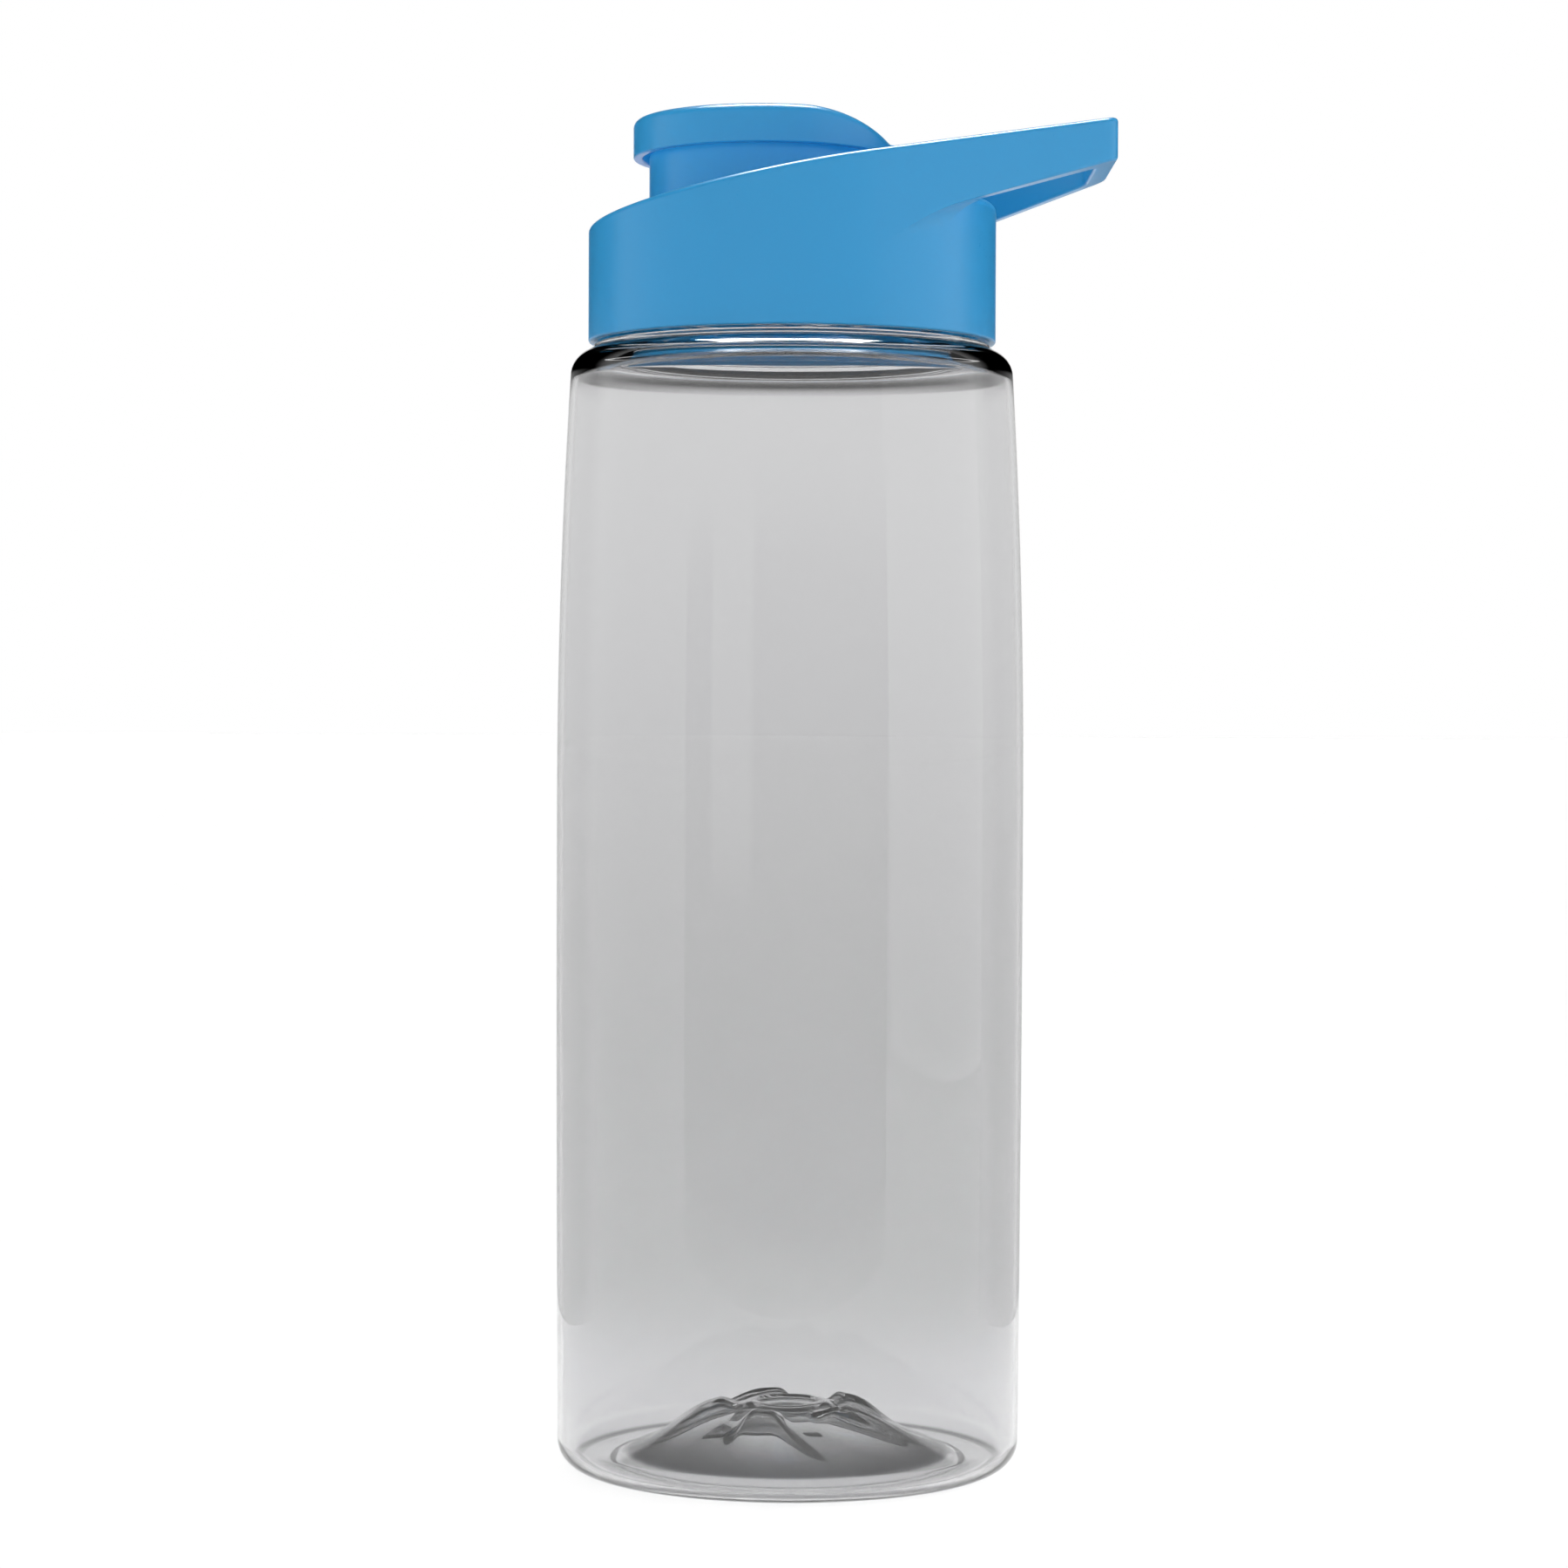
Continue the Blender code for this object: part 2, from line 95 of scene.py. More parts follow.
def colour(name, description, default):
    """Return a property for a colour."""
    return bpy.props.FloatVectorProperty(
        name=name, description=description, default=default, subtype="COLOR", size=3, min=0.0, max=1.0
    )


class BottleBodySizes(bpy.types.PropertyGroup):
    """Sizes of the clear body."""

    radius: length("Radius", "Outside radius at the belly", BODY_RADIUS)
    wall: length("Wall", "Wall thickness", 1.0 * MM)
    belly_z: length("Belly height", "Height of the widest place", 110.0 * MM)
    shoulder_z: length("Shoulder height", "Height where the shoulder starts to turn in", 177.9 * MM)
    shoulder_taper: length("Shoulder taper", "How much narrower the shoulder is", 2.0 * MM)
    foot_taper: length("Foot taper", "How much narrower the foot is", 0.45 * MM)
    shoulder_radius: length("Shoulder rounding", "Radius of the shoulder's edge", 4.3 * MM)
    heel_radius: length("Heel rounding", "Radius of the heel's edge", 4.5 * MM)
    neck_radius: length("Neck radius", "Outside radius of the neck", 30.0 * MM)
    neck_bore: length("Neck bore", "Inside radius of the neck", 27.8 * MM)
    neck_top_z: length("Neck height", "Height of the neck's top", BODY_HIGH.z)
    bead_radius: length("Bead radius", "Radius of the bead under the lid", 32.4 * MM)
    bead_top_z: length("Bead height", "Height of the bead's top", 183.0 * MM)
    petal_height: length("Petal height", "How far the petals stand out of the push-up", 3.0 * MM)


class LidSizes(bpy.types.PropertyGroup):
    """Sizes of the lid moulding."""

    skirt_radius: length("Skirt radius", "Outside radius of the skirt", SKIRT_RADIUS)
    skirt_wall: length("Skirt wall", "Wall thickness of the skirt", 1.55 * MM)
    skirt_bottom_z: length("Skirt foot", "Height of the skirt's lower edge", LID_LOW.z)
    rim_z: length("Rim height", "Height of the rim over the axis", 208.55 * MM)
    rim_slope: number("Rim slope", "Rise of the rim towards the loop", 0.198)
    deck_z: length("Deck height", "Height of the deck over the axis", 203.6 * MM)
    deck_slope: number("Deck slope", "Rise of the deck towards the loop", 0.077)
    loop_reach: length("Loop reach", "Distance from the axis to the loop's end", LOOP_REACH)
    spout_radius: length("Spout radius", "Outside radius of the spout", 18.9 * MM)
    spout_bore: length("Spout bore", "Inside radius of the spout", 17.0 * MM)
    spout_top_z: length("Spout height", "Height of the spout's top", 214.0 * MM)


class CapSizes(bpy.types.PropertyGroup):
    """Sizes of the flip cap."""

    radius: length("Radius", "Outside radius of the cap", CAP_RADIUS)
    wall: length("Wall", "Wall thickness of the cap's skirt", 1.5 * MM)
    bottom_z: length("Foot", "Height of the cap's lower edge", 213.3 * MM)
    top_z: length("Top", "Height of the cap's top", CAP_HIGH.z)
    edge: length("Edge", "Rounding of the top edge", 1.2 * MM)


class BottleFinish(bpy.types.PropertyGroup):
    """Colours of the plastics."""

    blue: colour("Lid blue", "Colour of the lid and cap", (0.022, 0.258, 0.530))
    # Painted shade: a near-black colour painted into the push-up's foot and round the heel in place of
    # dark refractions, not the plastic's own tint.
    painted_shade: colour("Dome", "Tint of the thick push-up at its foot", (0.10, 0.10, 0.105))
    smoke: colour("Smoke", "Tint of one wall of the body", (0.785, 0.785, 0.79))
    deep_smoke: colour("Deep smoke", "Tint of one wall where it is thickest", (0.672, 0.672, 0.677))
    silicone: colour("Silicone", "Colour of the seals", (0.78, 0.79, 0.80))
    pin: colour("Pin", "Colour of the hinge pin", (0.72, 0.73, 0.74))


class StageSettings(bpy.types.PropertyGroup):
    """The camera's place and the lights' strength."""

    distance: length("Distance", "From the camera to the bottle's axis", 641.0 * MM)
    height: length("Height", "Height of the camera above the floor", 121.3 * MM)
    lens: number("Lens", "Focal length in millimetres", 89.84)
    side: length("Side step", "How far the camera stands to the left of the axis", 1.0 * MM)
    tilt: number("Tilt", "Degrees that the camera looks down", 0.88)
    roll: number("Roll", "Degrees that the camera leans", 0.24)
    backdrop: number("Backdrop", "Brightness of the room round the bottle", 1.0)
    ceiling: number("Ceiling", "Brightness of the room overhead", 0.02)


# ---------------------------------------------------------------- mesh helpers


def arc(center, radius, start, end, count):
    """Return count + 1 points on an arc, with its angles in degrees."""
    points = []
    for index in range(count + 1):
        angle = math.radians(start + (end - start) * index / count)
        points.append((center[0] + radius * math.cos(angle), center[1] + radius * math.sin(angle)))
    return points


def line(start, end, count):
    """Return count points that lead from start towards end, without the end itself."""
    return [
        (start[0] + (end[0] - start[0]) * i / count, start[1] + (end[1] - start[1]) * i / count)
        for i in range(count)
    ]


def smoothstep(low, high, value):
    """Return 0 below low, 1 above high, and an eased value between them."""
    share = min(max((value - low) / (high - low), 0.0), 1.0)
    return share * share * (3 - 2 * share)


def spun(profile, steps, center_x=0.0):
    """Return a closed bmesh turned about a vertical axis from (radius, height) points."""
    bm = bmesh.new()
    verts = [bm.verts.new((center_x + radius, 0, height)) for radius, height in profile]
    pairs = zip(verts, verts[1:] + verts[:1])
    on_axis = center_x + 1e-9
    edges = [bm.edges.new(pair) for pair in pairs if max(v.co.x for v in pair) > on_axis]
    bmesh.ops.spin(
        bm,
        geom=verts + edges,
        cent=(center_x, 0, 0),
        axis=(0, 0, 1),
        angle=math.tau,
        steps=steps,
        use_merge=True,
    )
    bmesh.ops.remove_doubles(bm, verts=bm.verts, dist=1e-6)
    bmesh.ops.recalc_face_normals(bm, faces=bm.faces)
    return bm


def prism(outline, low, high):
    """Return a bmesh of a plan outline extruded from its low plane to its high one."""
    bm = bmesh.new()
    floor = bm.faces.new([bm.verts.new((x, y, low(x))) for x, y in outline])
    extruded = bmesh.ops.extrude_face_region(bm, geom=[floor], use_keep_orig=True)
    for item in extruded["geom"]:
        if isinstance(item, bmesh.types.BMVert):
            item.co.z = high(item.co.x)
    bmesh.ops.recalc_face_normals(bm, faces=bm.faces)
    return bm


def side_prism(outline, low_y, high_y):
    """Return a bmesh of an outline of (x, z) points extruded along Y."""
    bm = bmesh.new()
    side = bm.faces.new([bm.verts.new((x, low_y, z)) for x, z in outline])
    extruded = bmesh.ops.extrude_face_region(bm, geom=[side], use_keep_orig=True)
    for item in extruded["geom"]:
        if isinstance(item, bmesh.types.BMVert):
            item.co.y = high_y
    bmesh.ops.recalc_face_normals(bm, faces=bm.faces)
    return bm


def plane(height, slope=0.0):
    """Return a plane that rises along X: a function from X to its height there."""

    def height_at(x):
        return height + slope * x

    return height_at


def mesh_object(name, bm):
    """Return an object for a bmesh."""
    mesh = bpy.data.meshes.new(name)
    bm.to_mesh(mesh)
    bm.free()
    obj = bpy.data.objects.new(name, mesh)
    bpy.context.scene.collection.objects.link(obj)
    return obj


def combine(target, tool, operation="DIFFERENCE"):
    """Cut one bmesh with another, or join them, and return the result."""
    base = mesh_object("base", target)
    cutter = mesh_object("cutter", tool)
    modifier = base.modifiers.new("cut", "BOOLEAN")
    modifier.operation = operation
    modifier.solver = "EXACT"
    modifier.object = cutter
    evaluated = base.evaluated_get(bpy.context.evaluated_depsgraph_get())
    result = bmesh.new()
    result.from_mesh(evaluated.to_mesh())
    evaluated.to_mesh_clear()
    for obj in (base, cutter):
        mesh = obj.data
        bpy.data.objects.remove(obj)
        bpy.data.meshes.remove(mesh)
    bmesh.ops.remove_doubles(result, verts=result.verts, dist=2e-6)
    bmesh.ops.dissolve_degenerate(result, edges=result.edges, dist=2e-6)
    return result


def bevel(bm, edges, width, segments):
    """Round the given edges."""
    bmesh.ops.bevel(
        bm,
        geom=edges,
        offset=width,
        offset_type="OFFSET",
        segments=segments,
        profile=0.5,
        affect="EDGES",
        clamp_overlap=False,
        material=-1,
    )


def round_edges(bm, width, segments, test):
    """Round the sharp edges whose two ends both pass the test."""
    limit = math.radians(25)
    edges = []
    for edge in bm.edges:
        if all(test(v.co) for v in edge.verts) and edge.calc_face_angle(0.0) > limit:
            edges.append(edge)
    bevel(bm, edges, width, segments)


def near(value, target, slack=0.06 * MM):
    """Tell whether two lengths agree."""
    return abs(value - target) < slack


def finish_piece(name, bm, material, body, node, sharp=32.0):
    """Place a piece on the bottle's axis, shade it, and let it stand for its CAD node."""
    bmesh.ops.translate(bm, vec=(AXIS_X, 0, 0), verts=bm.verts)
    obj = mesh_object(name, bm)
    obj.data.shade_smooth()
    obj.data.set_sharp_from_angle(angle=math.radians(sharp))
    weighted = obj.modifiers.new("weighted", "WEIGHTED_NORMAL")
    weighted.keep_sharp = True
    obj.data.materials.append(material)
    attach(obj, body)
    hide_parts(node)
    return obj


# ------------------------------------------------------------ material helpers


class Value:
    """A socket that takes part in Python expressions, each of which adds a Math node."""

    def __init__(self, graph, socket):
        self.graph = graph
        self.socket = socket

    def math(self, operation, *values):
        """Return a Math node's output for the values."""
        return self.graph.node("ShaderNodeMath", {"operation": operation}, values)

    def __add__(self, other):
        return self.math("ADD", self, other)

    def __sub__(self, other):
        return self.math("SUBTRACT", self, other)

    def __mul__(self, other):
        return self.math("MULTIPLY", self, other)

    def __rsub__(self, other):
        return self.math("SUBTRACT", other, self)

    __radd__ = __add__
    __rmul__ = __mul__


class Graph:
    """A node tree, and the one method that makes its nodes."""

    def __init__(self, tree):
        self.tree = tree

    def node(self, kind, settings, sockets, output=0):
        """Make a node, set it up, feed its sockets, and return one of its outputs."""
        node = self.tree.nodes.new(kind)
        for key, setting in settings.items():
            setattr(node, key, setting)
        items = sockets.items() if isinstance(sockets, dict) else enumerate(sockets)
        for key, value in items:
            self.feed(node.inputs[key], value)
        return Value(self, node.outputs[output])

    def feed(self, target, value):
        """Link a value to a socket, or set the socket to it."""
        if isinstance(value, Value):
            self.tree.links.new(value.socket, target)
        else:
            target.default_value = value

    def step(self, value, low, high, start=0.0, end=1.0):
        """Return an eased value that leads from start to end as the input passes low and high."""
        settings = {"interpolation_type": "SMOOTHSTEP"}
        return self.node("ShaderNodeMapRange", settings, [value, low, high, start, end])


class Finish(Graph):
    """A material with one Principled shader."""

    def __init__(self, name, **constants):
        self.material = bpy.data.materials.new(name)
        self.material.use_nodes = True
        super().__init__(self.material.node_tree)
        self.shader = self.tree.nodes["Principled BSDF"]
        self.drive(**constants)

    def drive(self, **values):
        """Set or link the shader's sockets, named with underscores for spaces."""
        for key, value in values.items():
            self.feed(self.shader.inputs[key.replace("_", " ")], value)

    def place(self):
        """Return the object coordinates."""
        return self.node("ShaderNodeTexCoord", {}, {}, "Object")

    def along(self, axis):
        """Return the place along X, Y or Z, counted from 0."""
        return self.node("ShaderNodeSeparateXYZ", {}, [self.place()], axis)

    def from_axis(self):
        """Return the distance from the bottle's axis."""
        centred = {"Vector": self.place(), "Location": (-AXIS_X, 0, 0), "Scale": (1, 1, 0)}
        flat = self.node("ShaderNodeMapping", {}, centred)
        return self.node("ShaderNodeVectorMath", {"operation": "LENGTH"}, [flat], "Value")

    def noise(self, scale, detail=2.0, stretch=(1.0, 1.0, 1.0)):
        """Return smooth noise over the object, from 0 to 1."""
        mapped = self.node("ShaderNodeMapping", {}, {"Vector": self.place(), "Scale": stretch})
        sockets = {"Vector": mapped, "Scale": scale, "Detail": detail}
        return self.node("ShaderNodeTexNoise", {}, sockets, "Fac")

    def tone(self, factor, low, high):
        """Return a colour between two, each of them a plain one or a node's."""
        low, high = [end if isinstance(end, Value) else (*end, 1) for end in (low, high)]
        return self.node("ShaderNodeMix", {"data_type": "RGBA"}, {0: factor, 6: low, 7: high}, 2)

    def bump(self, height, strength, distance):
        """Feed a height to the shader's normal through a Bump node."""
        sockets = {"Height": height, "Strength": strength, "Distance": distance}
        self.drive(Normal=self.node("ShaderNodeBump", {}, sockets, "Normal"))


# Each pair is where a tint sets in and where it is full, as a height or a distance from the axis.
TINT_HIGH = (182.0 * MM, 56.0 * MM)
TINT_LOW = (8.0 * MM, 34.0 * MM)
WANDER = 0.1
# The push-up and heel pairs and shares below set painted shade: the push-up painted dark at its foot and
# lighter towards its crown, and a dark line painted round the heel, where the clear plastic shows dark
# refractions.
PUSH_UP_RADII = (27.0 * MM, 25.6 * MM)
PUSH_UP_HEIGHTS = (16.0 * MM, 13.0 * MM)
PUSH_UP_DEEPENS = (9.5 * MM, 2.0 * MM)
CROWN_PAINTED_SHADE = 0.16
HEEL_RADII = (33.6 * MM, 34.4 * MM)
HEEL_HEIGHTS = (1.1 * MM, 0.5 * MM)
HEEL_PAINTED_SHADE = 0.9


def smoke_plastic(finish):
    """Clear, lightly smoked, blow-moulded plastic, deeper where it is thick, and faintly wavy, with
    painted shade: the push-up dark at its foot and a dark line round the heel, in place of dark
    refractions.
    """
    smoke = Finish("smoked_clear", IOR=1.52, Transmission_Weight=1.0)
    height = smoke.along(2)
    radius = smoke.from_axis()
    thick = smoke.step(height, *TINT_HIGH) * smoke.step(height, *TINT_LOW)
    deep = thick * (1 - WANDER) + smoke.noise(14.0, 1.0) * WANDER
    wall = smoke.tone(deep, finish.smoke, finish.deep_smoke)
    # Painted shade: the push-up darkens towards its foot and a thin dark line runs round the heel.
    inside = smoke.step(radius, *PUSH_UP_RADII) * smoke.step(height, *PUSH_UP_HEIGHTS)
    painted_push_up_shade = inside * smoke.step(height, *PUSH_UP_DEEPENS, CROWN_PAINTED_SHADE, 1.0)
    heel = smoke.step(radius, *HEEL_RADII) * smoke.step(height, *HEEL_HEIGHTS) * HEEL_PAINTED_SHADE
    smoke.drive(Base_Color=smoke.tone(painted_push_up_shade + heel, wall, finish.painted_shade))
    smoke.drive(Roughness=smoke.noise(45.0) * 0.02)
    smoke.bump(smoke.noise(30.0, 1.0, (1.0, 1.0, 0.2)), 0.1, 0.2 * MM)
    return smoke.material


def blue_plastic(finish):
    """Satin moulded plastic with a fine grain and faint flow marks."""
    satin = Finish("satin_blue", IOR=1.45)
    base = Vector(finish.blue)
    flow = satin.noise(38.0, 2.0, (1.0, 1.0, 0.5))
    fine = satin.noise(2600.0)
    satin.drive(Base_Color=satin.tone(flow, base * 0.97, base * 1.03))
    satin.drive(Roughness=0.24 + flow * 0.05 + fine * 0.05)
    satin.bump(fine + flow * 0.6, 0.12, 0.05 * MM)
    return satin.material


def silicone_rubber(finish):
    """Milky silicone with a soft sheen."""
    rubber = Finish("milky_rubber", IOR=1.41, Transmission_Weight=0.25)
    base = Vector(finish.silicone)
    cloud = rubber.noise(160.0)
    rubber.drive(Base_Color=rubber.tone(cloud, base * 0.94, base), Roughness=0.4 + cloud * 0.1)
    rubber.bump(rubber.noise(2200.0), 0.15, 0.03 * MM)
    return rubber.material


def pin_plastic(finish):
    """Plain white plastic with faint turning marks round the pin."""
    plain = Finish("turned_white", IOR=1.48)
    base = Vector(finish.pin)
    rings = plain.noise(900.0, 1.0, (0.05, 1.0, 0.05))
    plain.drive(Base_Color=plain.tone(rings, base * 0.95, base), Roughness=0.3 + rings * 0.1)
    plain.bump(rings, 0.2, 0.03 * MM)
    return plain.material


def shared_material(name, maker, finish):
    """Return the material of that name, made once."""
    return bpy.data.materials.get(name) or maker(finish)


# ------------------------------------------------------------------ the pieces

PITCH = 5.0 * MM
NECK_THREAD_Z = 187.5 * MM
THREAD_TURNS = 1.4
THREAD_DEPTH = 1.2 * MM
THREAD_HALF_WIDTH = 1.15 * MM
THREAD_FLAT = 0.45 * MM


def thread_height(angle, z, start_z):
    """Return the thread's height from 0 to 1 at a place on a cylinder, faded at its ends."""
    best = 0.0
    turn = (angle / math.tau) % 1.0
    for lap in range(-1, 4):
        along = turn + lap
        if not -0.05 < along < THREAD_TURNS + 0.05:
            continue
        offset = abs(z - start_z - PITCH * along)
        ridge = 1.0 - smoothstep(THREAD_FLAT, THREAD_HALF_WIDTH, offset)
        ends = smoothstep(-0.04, 0.03, along) * smoothstep(-0.04, 0.03, THREAD_TURNS - along)
        best = max(best, ridge * ends)
    return best


def cut_thread(bm, radius, depth, start_z, low_z, high_z):
    """Raise a thread on the cylinder of that radius by moving its points in or out."""
    for vert in bm.verts:
        reach = math.hypot(vert.co.x, vert.co.y)
        if abs(reach - radius) > 0.01 * MM or not low_z < vert.co.z < high_z:
            continue
        lift = depth * thread_height(math.atan2(vert.co.y, vert.co.x), vert.co.z, start_z)
        factor = (reach + lift) / reach
        vert.co.x *= factor
        vert.co.y *= factor


PETALS = 5
PETAL_PHASE = math.radians(180.0)
PETAL_SWIRL = 0.3
SWIRL_MIDDLE = 13.0 * MM
SWIRL_SPAN = 10.0 * MM
PETAL_RISE = (7.4 * MM, 11.4 * MM)
PETAL_FALL = (12.0 * MM, 25.5 * MM)
DOME_RADIUS = 26.6 * MM
DOME_FOOT_Z = 1.3 * MM
DOME_MIDDLE_Z = 7.3 * MM
DOME_TOP_RADIUS = 5.8 * MM
DOME_TOP_Z = 9.4 * MM
CROWN_RADIUS = 11.5 * MM
DIMPLE_RADIUS = 4.4 * MM
DIMPLE_DEPTH = 0.9 * MM
FOOT_RING_RADIUS = 28.9 * MM
BASE_HIGH_Z = 20.0 * MM
BODY_STEPS = 180


def petal_lift(x, y, height):
    """Return how far the swirled petals stand out of the push-up at a place."""
    radius = math.hypot(x, y)
    window = smoothstep(*PETAL_RISE, radius) * (1 - smoothstep(*PETAL_FALL, radius))
    turned_by = PETAL_SWIRL * (radius - SWIRL_MIDDLE) / SWIRL_SPAN
    wave = math.cos(PETALS * (math.atan2(y, x) - PETAL_PHASE - turned_by))
    return height * window * smoothstep(-0.7, 0.9, wave)


def outer_body_radius(sizes, z):
    """Return the body's outside radius: a shallow barrel, fullest at the belly."""
    if z > sizes.belly_z:
        share = (z - sizes.belly_z) / (sizes.shoulder_z - sizes.belly_z)
        return sizes.radius - sizes.shoulder_taper * share ** 2
    share = (sizes.belly_z - z) / (sizes.belly_z - sizes.heel_radius)
    return sizes.radius - sizes.foot_taper * share ** 2


def dome_profile(lift):
    """Return the push-up's section from its middle to its foot, raised by lift."""
    points = [(DIMPLE_RADIUS * s, DOME_TOP_Z + lift - DIMPLE_DEPTH) for s in (0.0, 0.35, 0.7, 0.92)]
    points += [(DIMPLE_RADIUS + 0.4 * MM, DOME_TOP_Z + lift - 0.25 * MM)]
    points += [(DIMPLE_RADIUS + 0.9 * MM, DOME_TOP_Z + lift)]
    count = 44
    for index in range(count + 1):
        share = index / count
        radius = DOME_TOP_RADIUS + (DOME_RADIUS - DOME_TOP_RADIUS) * share
        slope = DOME_FOOT_Z + (DOME_MIDDLE_Z - DOME_FOOT_Z) * (1 - share ** 1.6)
        crown = (DOME_TOP_Z - DOME_MIDDLE_Z) * (1 - smoothstep(DOME_TOP_RADIUS, CROWN_RADIUS, radius))
        points.append((radius, slope + crown + lift))
    return points


LIP = 0.5 * MM
BEAD_EDGE = 0.3 * MM
BEAD_FOOT = 0.25 * MM
RING_EDGE = 0.4 * MM
THROAT_EDGE = 1.0 * MM
WALL_ROWS = 46
INNER_HEEL_RISE = 0.2 * MM
INNER_SHOULDER_DROP = 1.1 * MM


def wall_heights(sizes):
    """Return the heights of the wall's rows, from the shoulder down to the heel."""
    fall = sizes.heel_radius - sizes.shoulder_z
    return [sizes.shoulder_z + fall * i / WALL_ROWS for i in range(1, WALL_ROWS)]


def shoulder_middle(sizes):
    """Return how far from the axis the shoulder's rounding has its middle."""
    return outer_body_radius(sizes, sizes.shoulder_z) - sizes.shoulder_radius


def heel_middle(sizes):
    """Return how far from the axis the heel's rounding has its middle."""
    return outer_body_radius(sizes, sizes.heel_radius) - sizes.heel_radius


def body_outside(sizes):
    """Return the section of the neck, bead, wall, heel and standing ring, from the top down."""
    neck, bead, bead_z = sizes.neck_radius, sizes.bead_radius, sizes.bead_top_z
    bead_foot_z = sizes.shoulder_z + sizes.shoulder_radius
    profile = arc((neck - LIP, sizes.neck_top_z - LIP), LIP, 90, 0, 4)
    profile += line((neck, sizes.neck_top_z - 2 * LIP), (neck, bead_z), 58)
    profile += [(neck, bead_z)]
    profile += arc((bead - BEAD_EDGE, bead_z - BEAD_EDGE), BEAD_EDGE, 90, 0, 4)
    profile += arc((bead + BEAD_FOOT, bead_foot_z + 0.22 * MM), BEAD_FOOT, 180, 262, 3)
    profile += arc((shoulder_middle(sizes), sizes.shoulder_z), sizes.shoulder_radius, 78, 0, 16)
    profile += [(outer_body_radius(sizes, z), z) for z in wall_heights(sizes)]
    heel_x = heel_middle(sizes)
    profile += arc((heel_x, sizes.heel_radius), sizes.heel_radius, 0, -90, 16)
    profile += line((heel_x - 0.6 * MM, 0.0), (FOOT_RING_RADIUS + 0.5 * MM, 0.0), 5)
    profile += arc((FOOT_RING_RADIUS + 0.1 * MM, RING_EDGE), RING_EDGE, 270, 180, 3)
    profile += [(FOOT_RING_RADIUS - 0.7 * MM, 0.75 * MM), (DOME_RADIUS + 0.8 * MM, 1.0 * MM)]
    return profile


def body_inside(sizes):
    """Return the section inside the heel, wall, shoulder and neck, from the push-up's foot up."""
    wall, bore = sizes.wall, sizes.neck_bore
    profile = [(DOME_RADIUS + 0.8 * MM, 1.0 * MM + wall), (FOOT_RING_RADIUS - 0.7 * MM, 0.6 * MM + wall)]
    heel_z = sizes.heel_radius + INNER_HEEL_RISE
    shoulder_z = sizes.shoulder_z - INNER_SHOULDER_DROP
    corner = sizes.heel_radius - wall
    profile += [(FOOT_RING_RADIUS + 0.6 * MM, heel_z - corner + 0.1 * MM)]
    profile += arc((heel_middle(sizes), heel_z), corner, -90, 0, 16)
    heights = [z for z in wall_heights(sizes)[::-1] if heel_z + MM < z < shoulder_z - MM]
    profile += [(outer_body_radius(sizes, z) - wall, z) for z in heights]
    corner = sizes.shoulder_radius - wall
    profile += arc((shoulder_middle(sizes), shoulder_z), corner, 0, 84, 14)
    throat_z = shoulder_z + corner
    profile += arc((bore + THROAT_EDGE, throat_z + THROAT_EDGE + 0.1 * MM), THROAT_EDGE, 262, 180, 6)
    profile += line((bore, throat_z + 2 * MM), (bore, sizes.neck_top_z - LIP), 8)
    profile += arc((bore + LIP, sizes.neck_top_z - LIP), LIP, 180, 90, 4)
    return profile


def body_section(sizes):
    """Return the body's whole section, from the neck down the outside and up the inside."""
    under, over = dome_profile(0.0)[::-1], dome_profile(sizes.wall)
    return body_outside(sizes) + under + over + body_inside(sizes)


def make_body(sizes):
    """Turn the body, press the petals into its push-up and raise the neck's thread."""
    bm = spun(body_section(sizes), BODY_STEPS)
    for vert in bm.verts:
        if vert.co.z < BASE_HIGH_Z:
            vert.co.z += petal_lift(vert.co.x, vert.co.y, sizes.petal_height)
    cut_thread(bm, sizes.neck_radius, THREAD_DEPTH, NECK_THREAD_Z, sizes.bead_top_z, sizes.neck_top_z)
    return bm


LID_STEPS = 120
TANGENT_DEGREES = 66
HOLE_LEAD_DEGREES = 57
HOLE_PASS_DEGREES = 42
RECESS_RADIUS = 31.3 * MM
LOOP_CORNER = 3.0 * MM
HOLE_END_X = 48.5 * MM
HOLE_CORNER = 2.5 * MM
LAND_Z = 199.6 * MM
LAND_INNER_RADIUS = 26.5 * MM
LID_THREAD_Z = NECK_THREAD_Z - PITCH / 2
LUG_INNER_Y = 6.3 * MM
LUG_OUTER_Y = 9.5 * MM
LUG_RADIUS = 3.0 * MM
LUG_FOOT_Z = 204.3 * MM
PIN_HOLE_RADIUS = 1.25 * MM
LUG_SOFT_Z = 206.0 * MM
LOOP_FOOT_X = 51.0 * MM
LOOP_FOOT_Z = 211.6 * MM
LOOP_SLOPE = 0.331
HOLE_LIP_X = 20.0 * MM
DECK_WALL = 1.6 * MM
SPOUT_SINK = 0.8 * MM
CUT_LOW_Z = 160.0 * MM
CUT_HIGH_Z = 240.0 * MM
FAR = 60.0 * MM


def mirrored(half):
    """Close a half outline on +Y with its mirror image."""
    return half + [(x, -y) for x, y in half[::-1]]


def circle(radius, x=0.0, steps=LID_STEPS):
    """Return a circle's outline about a point on the X axis."""
    return arc((x, 0.0), radius, 0, 360, steps)[:-1]


def lid_outline(sizes):
    """Return the lid's plan: the round skirt, drawn out into the loop on two tangents."""
    tangent = math.radians(TANGENT_DEGREES)
    steps_left = round((180 - TANGENT_DEGREES) * LID_STEPS / 360)
    around = arc((0.0, 0.0), sizes.skirt_radius, 180, TANGENT_DEGREES, steps_left)[1:]
    corner_x = sizes.loop_reach - LOOP_CORNER
    edge_y = (sizes.skirt_radius - corner_x * math.cos(tangent)) / math.sin(tangent)
    corner_y = edge_y - LOOP_CORNER / math.sin(tangent)
    corner = arc((corner_x, corner_y), LOOP_CORNER, TANGENT_DEGREES, 0, 8)
    return [(-sizes.skirt_radius, 0.0)] + mirrored(around + corner)


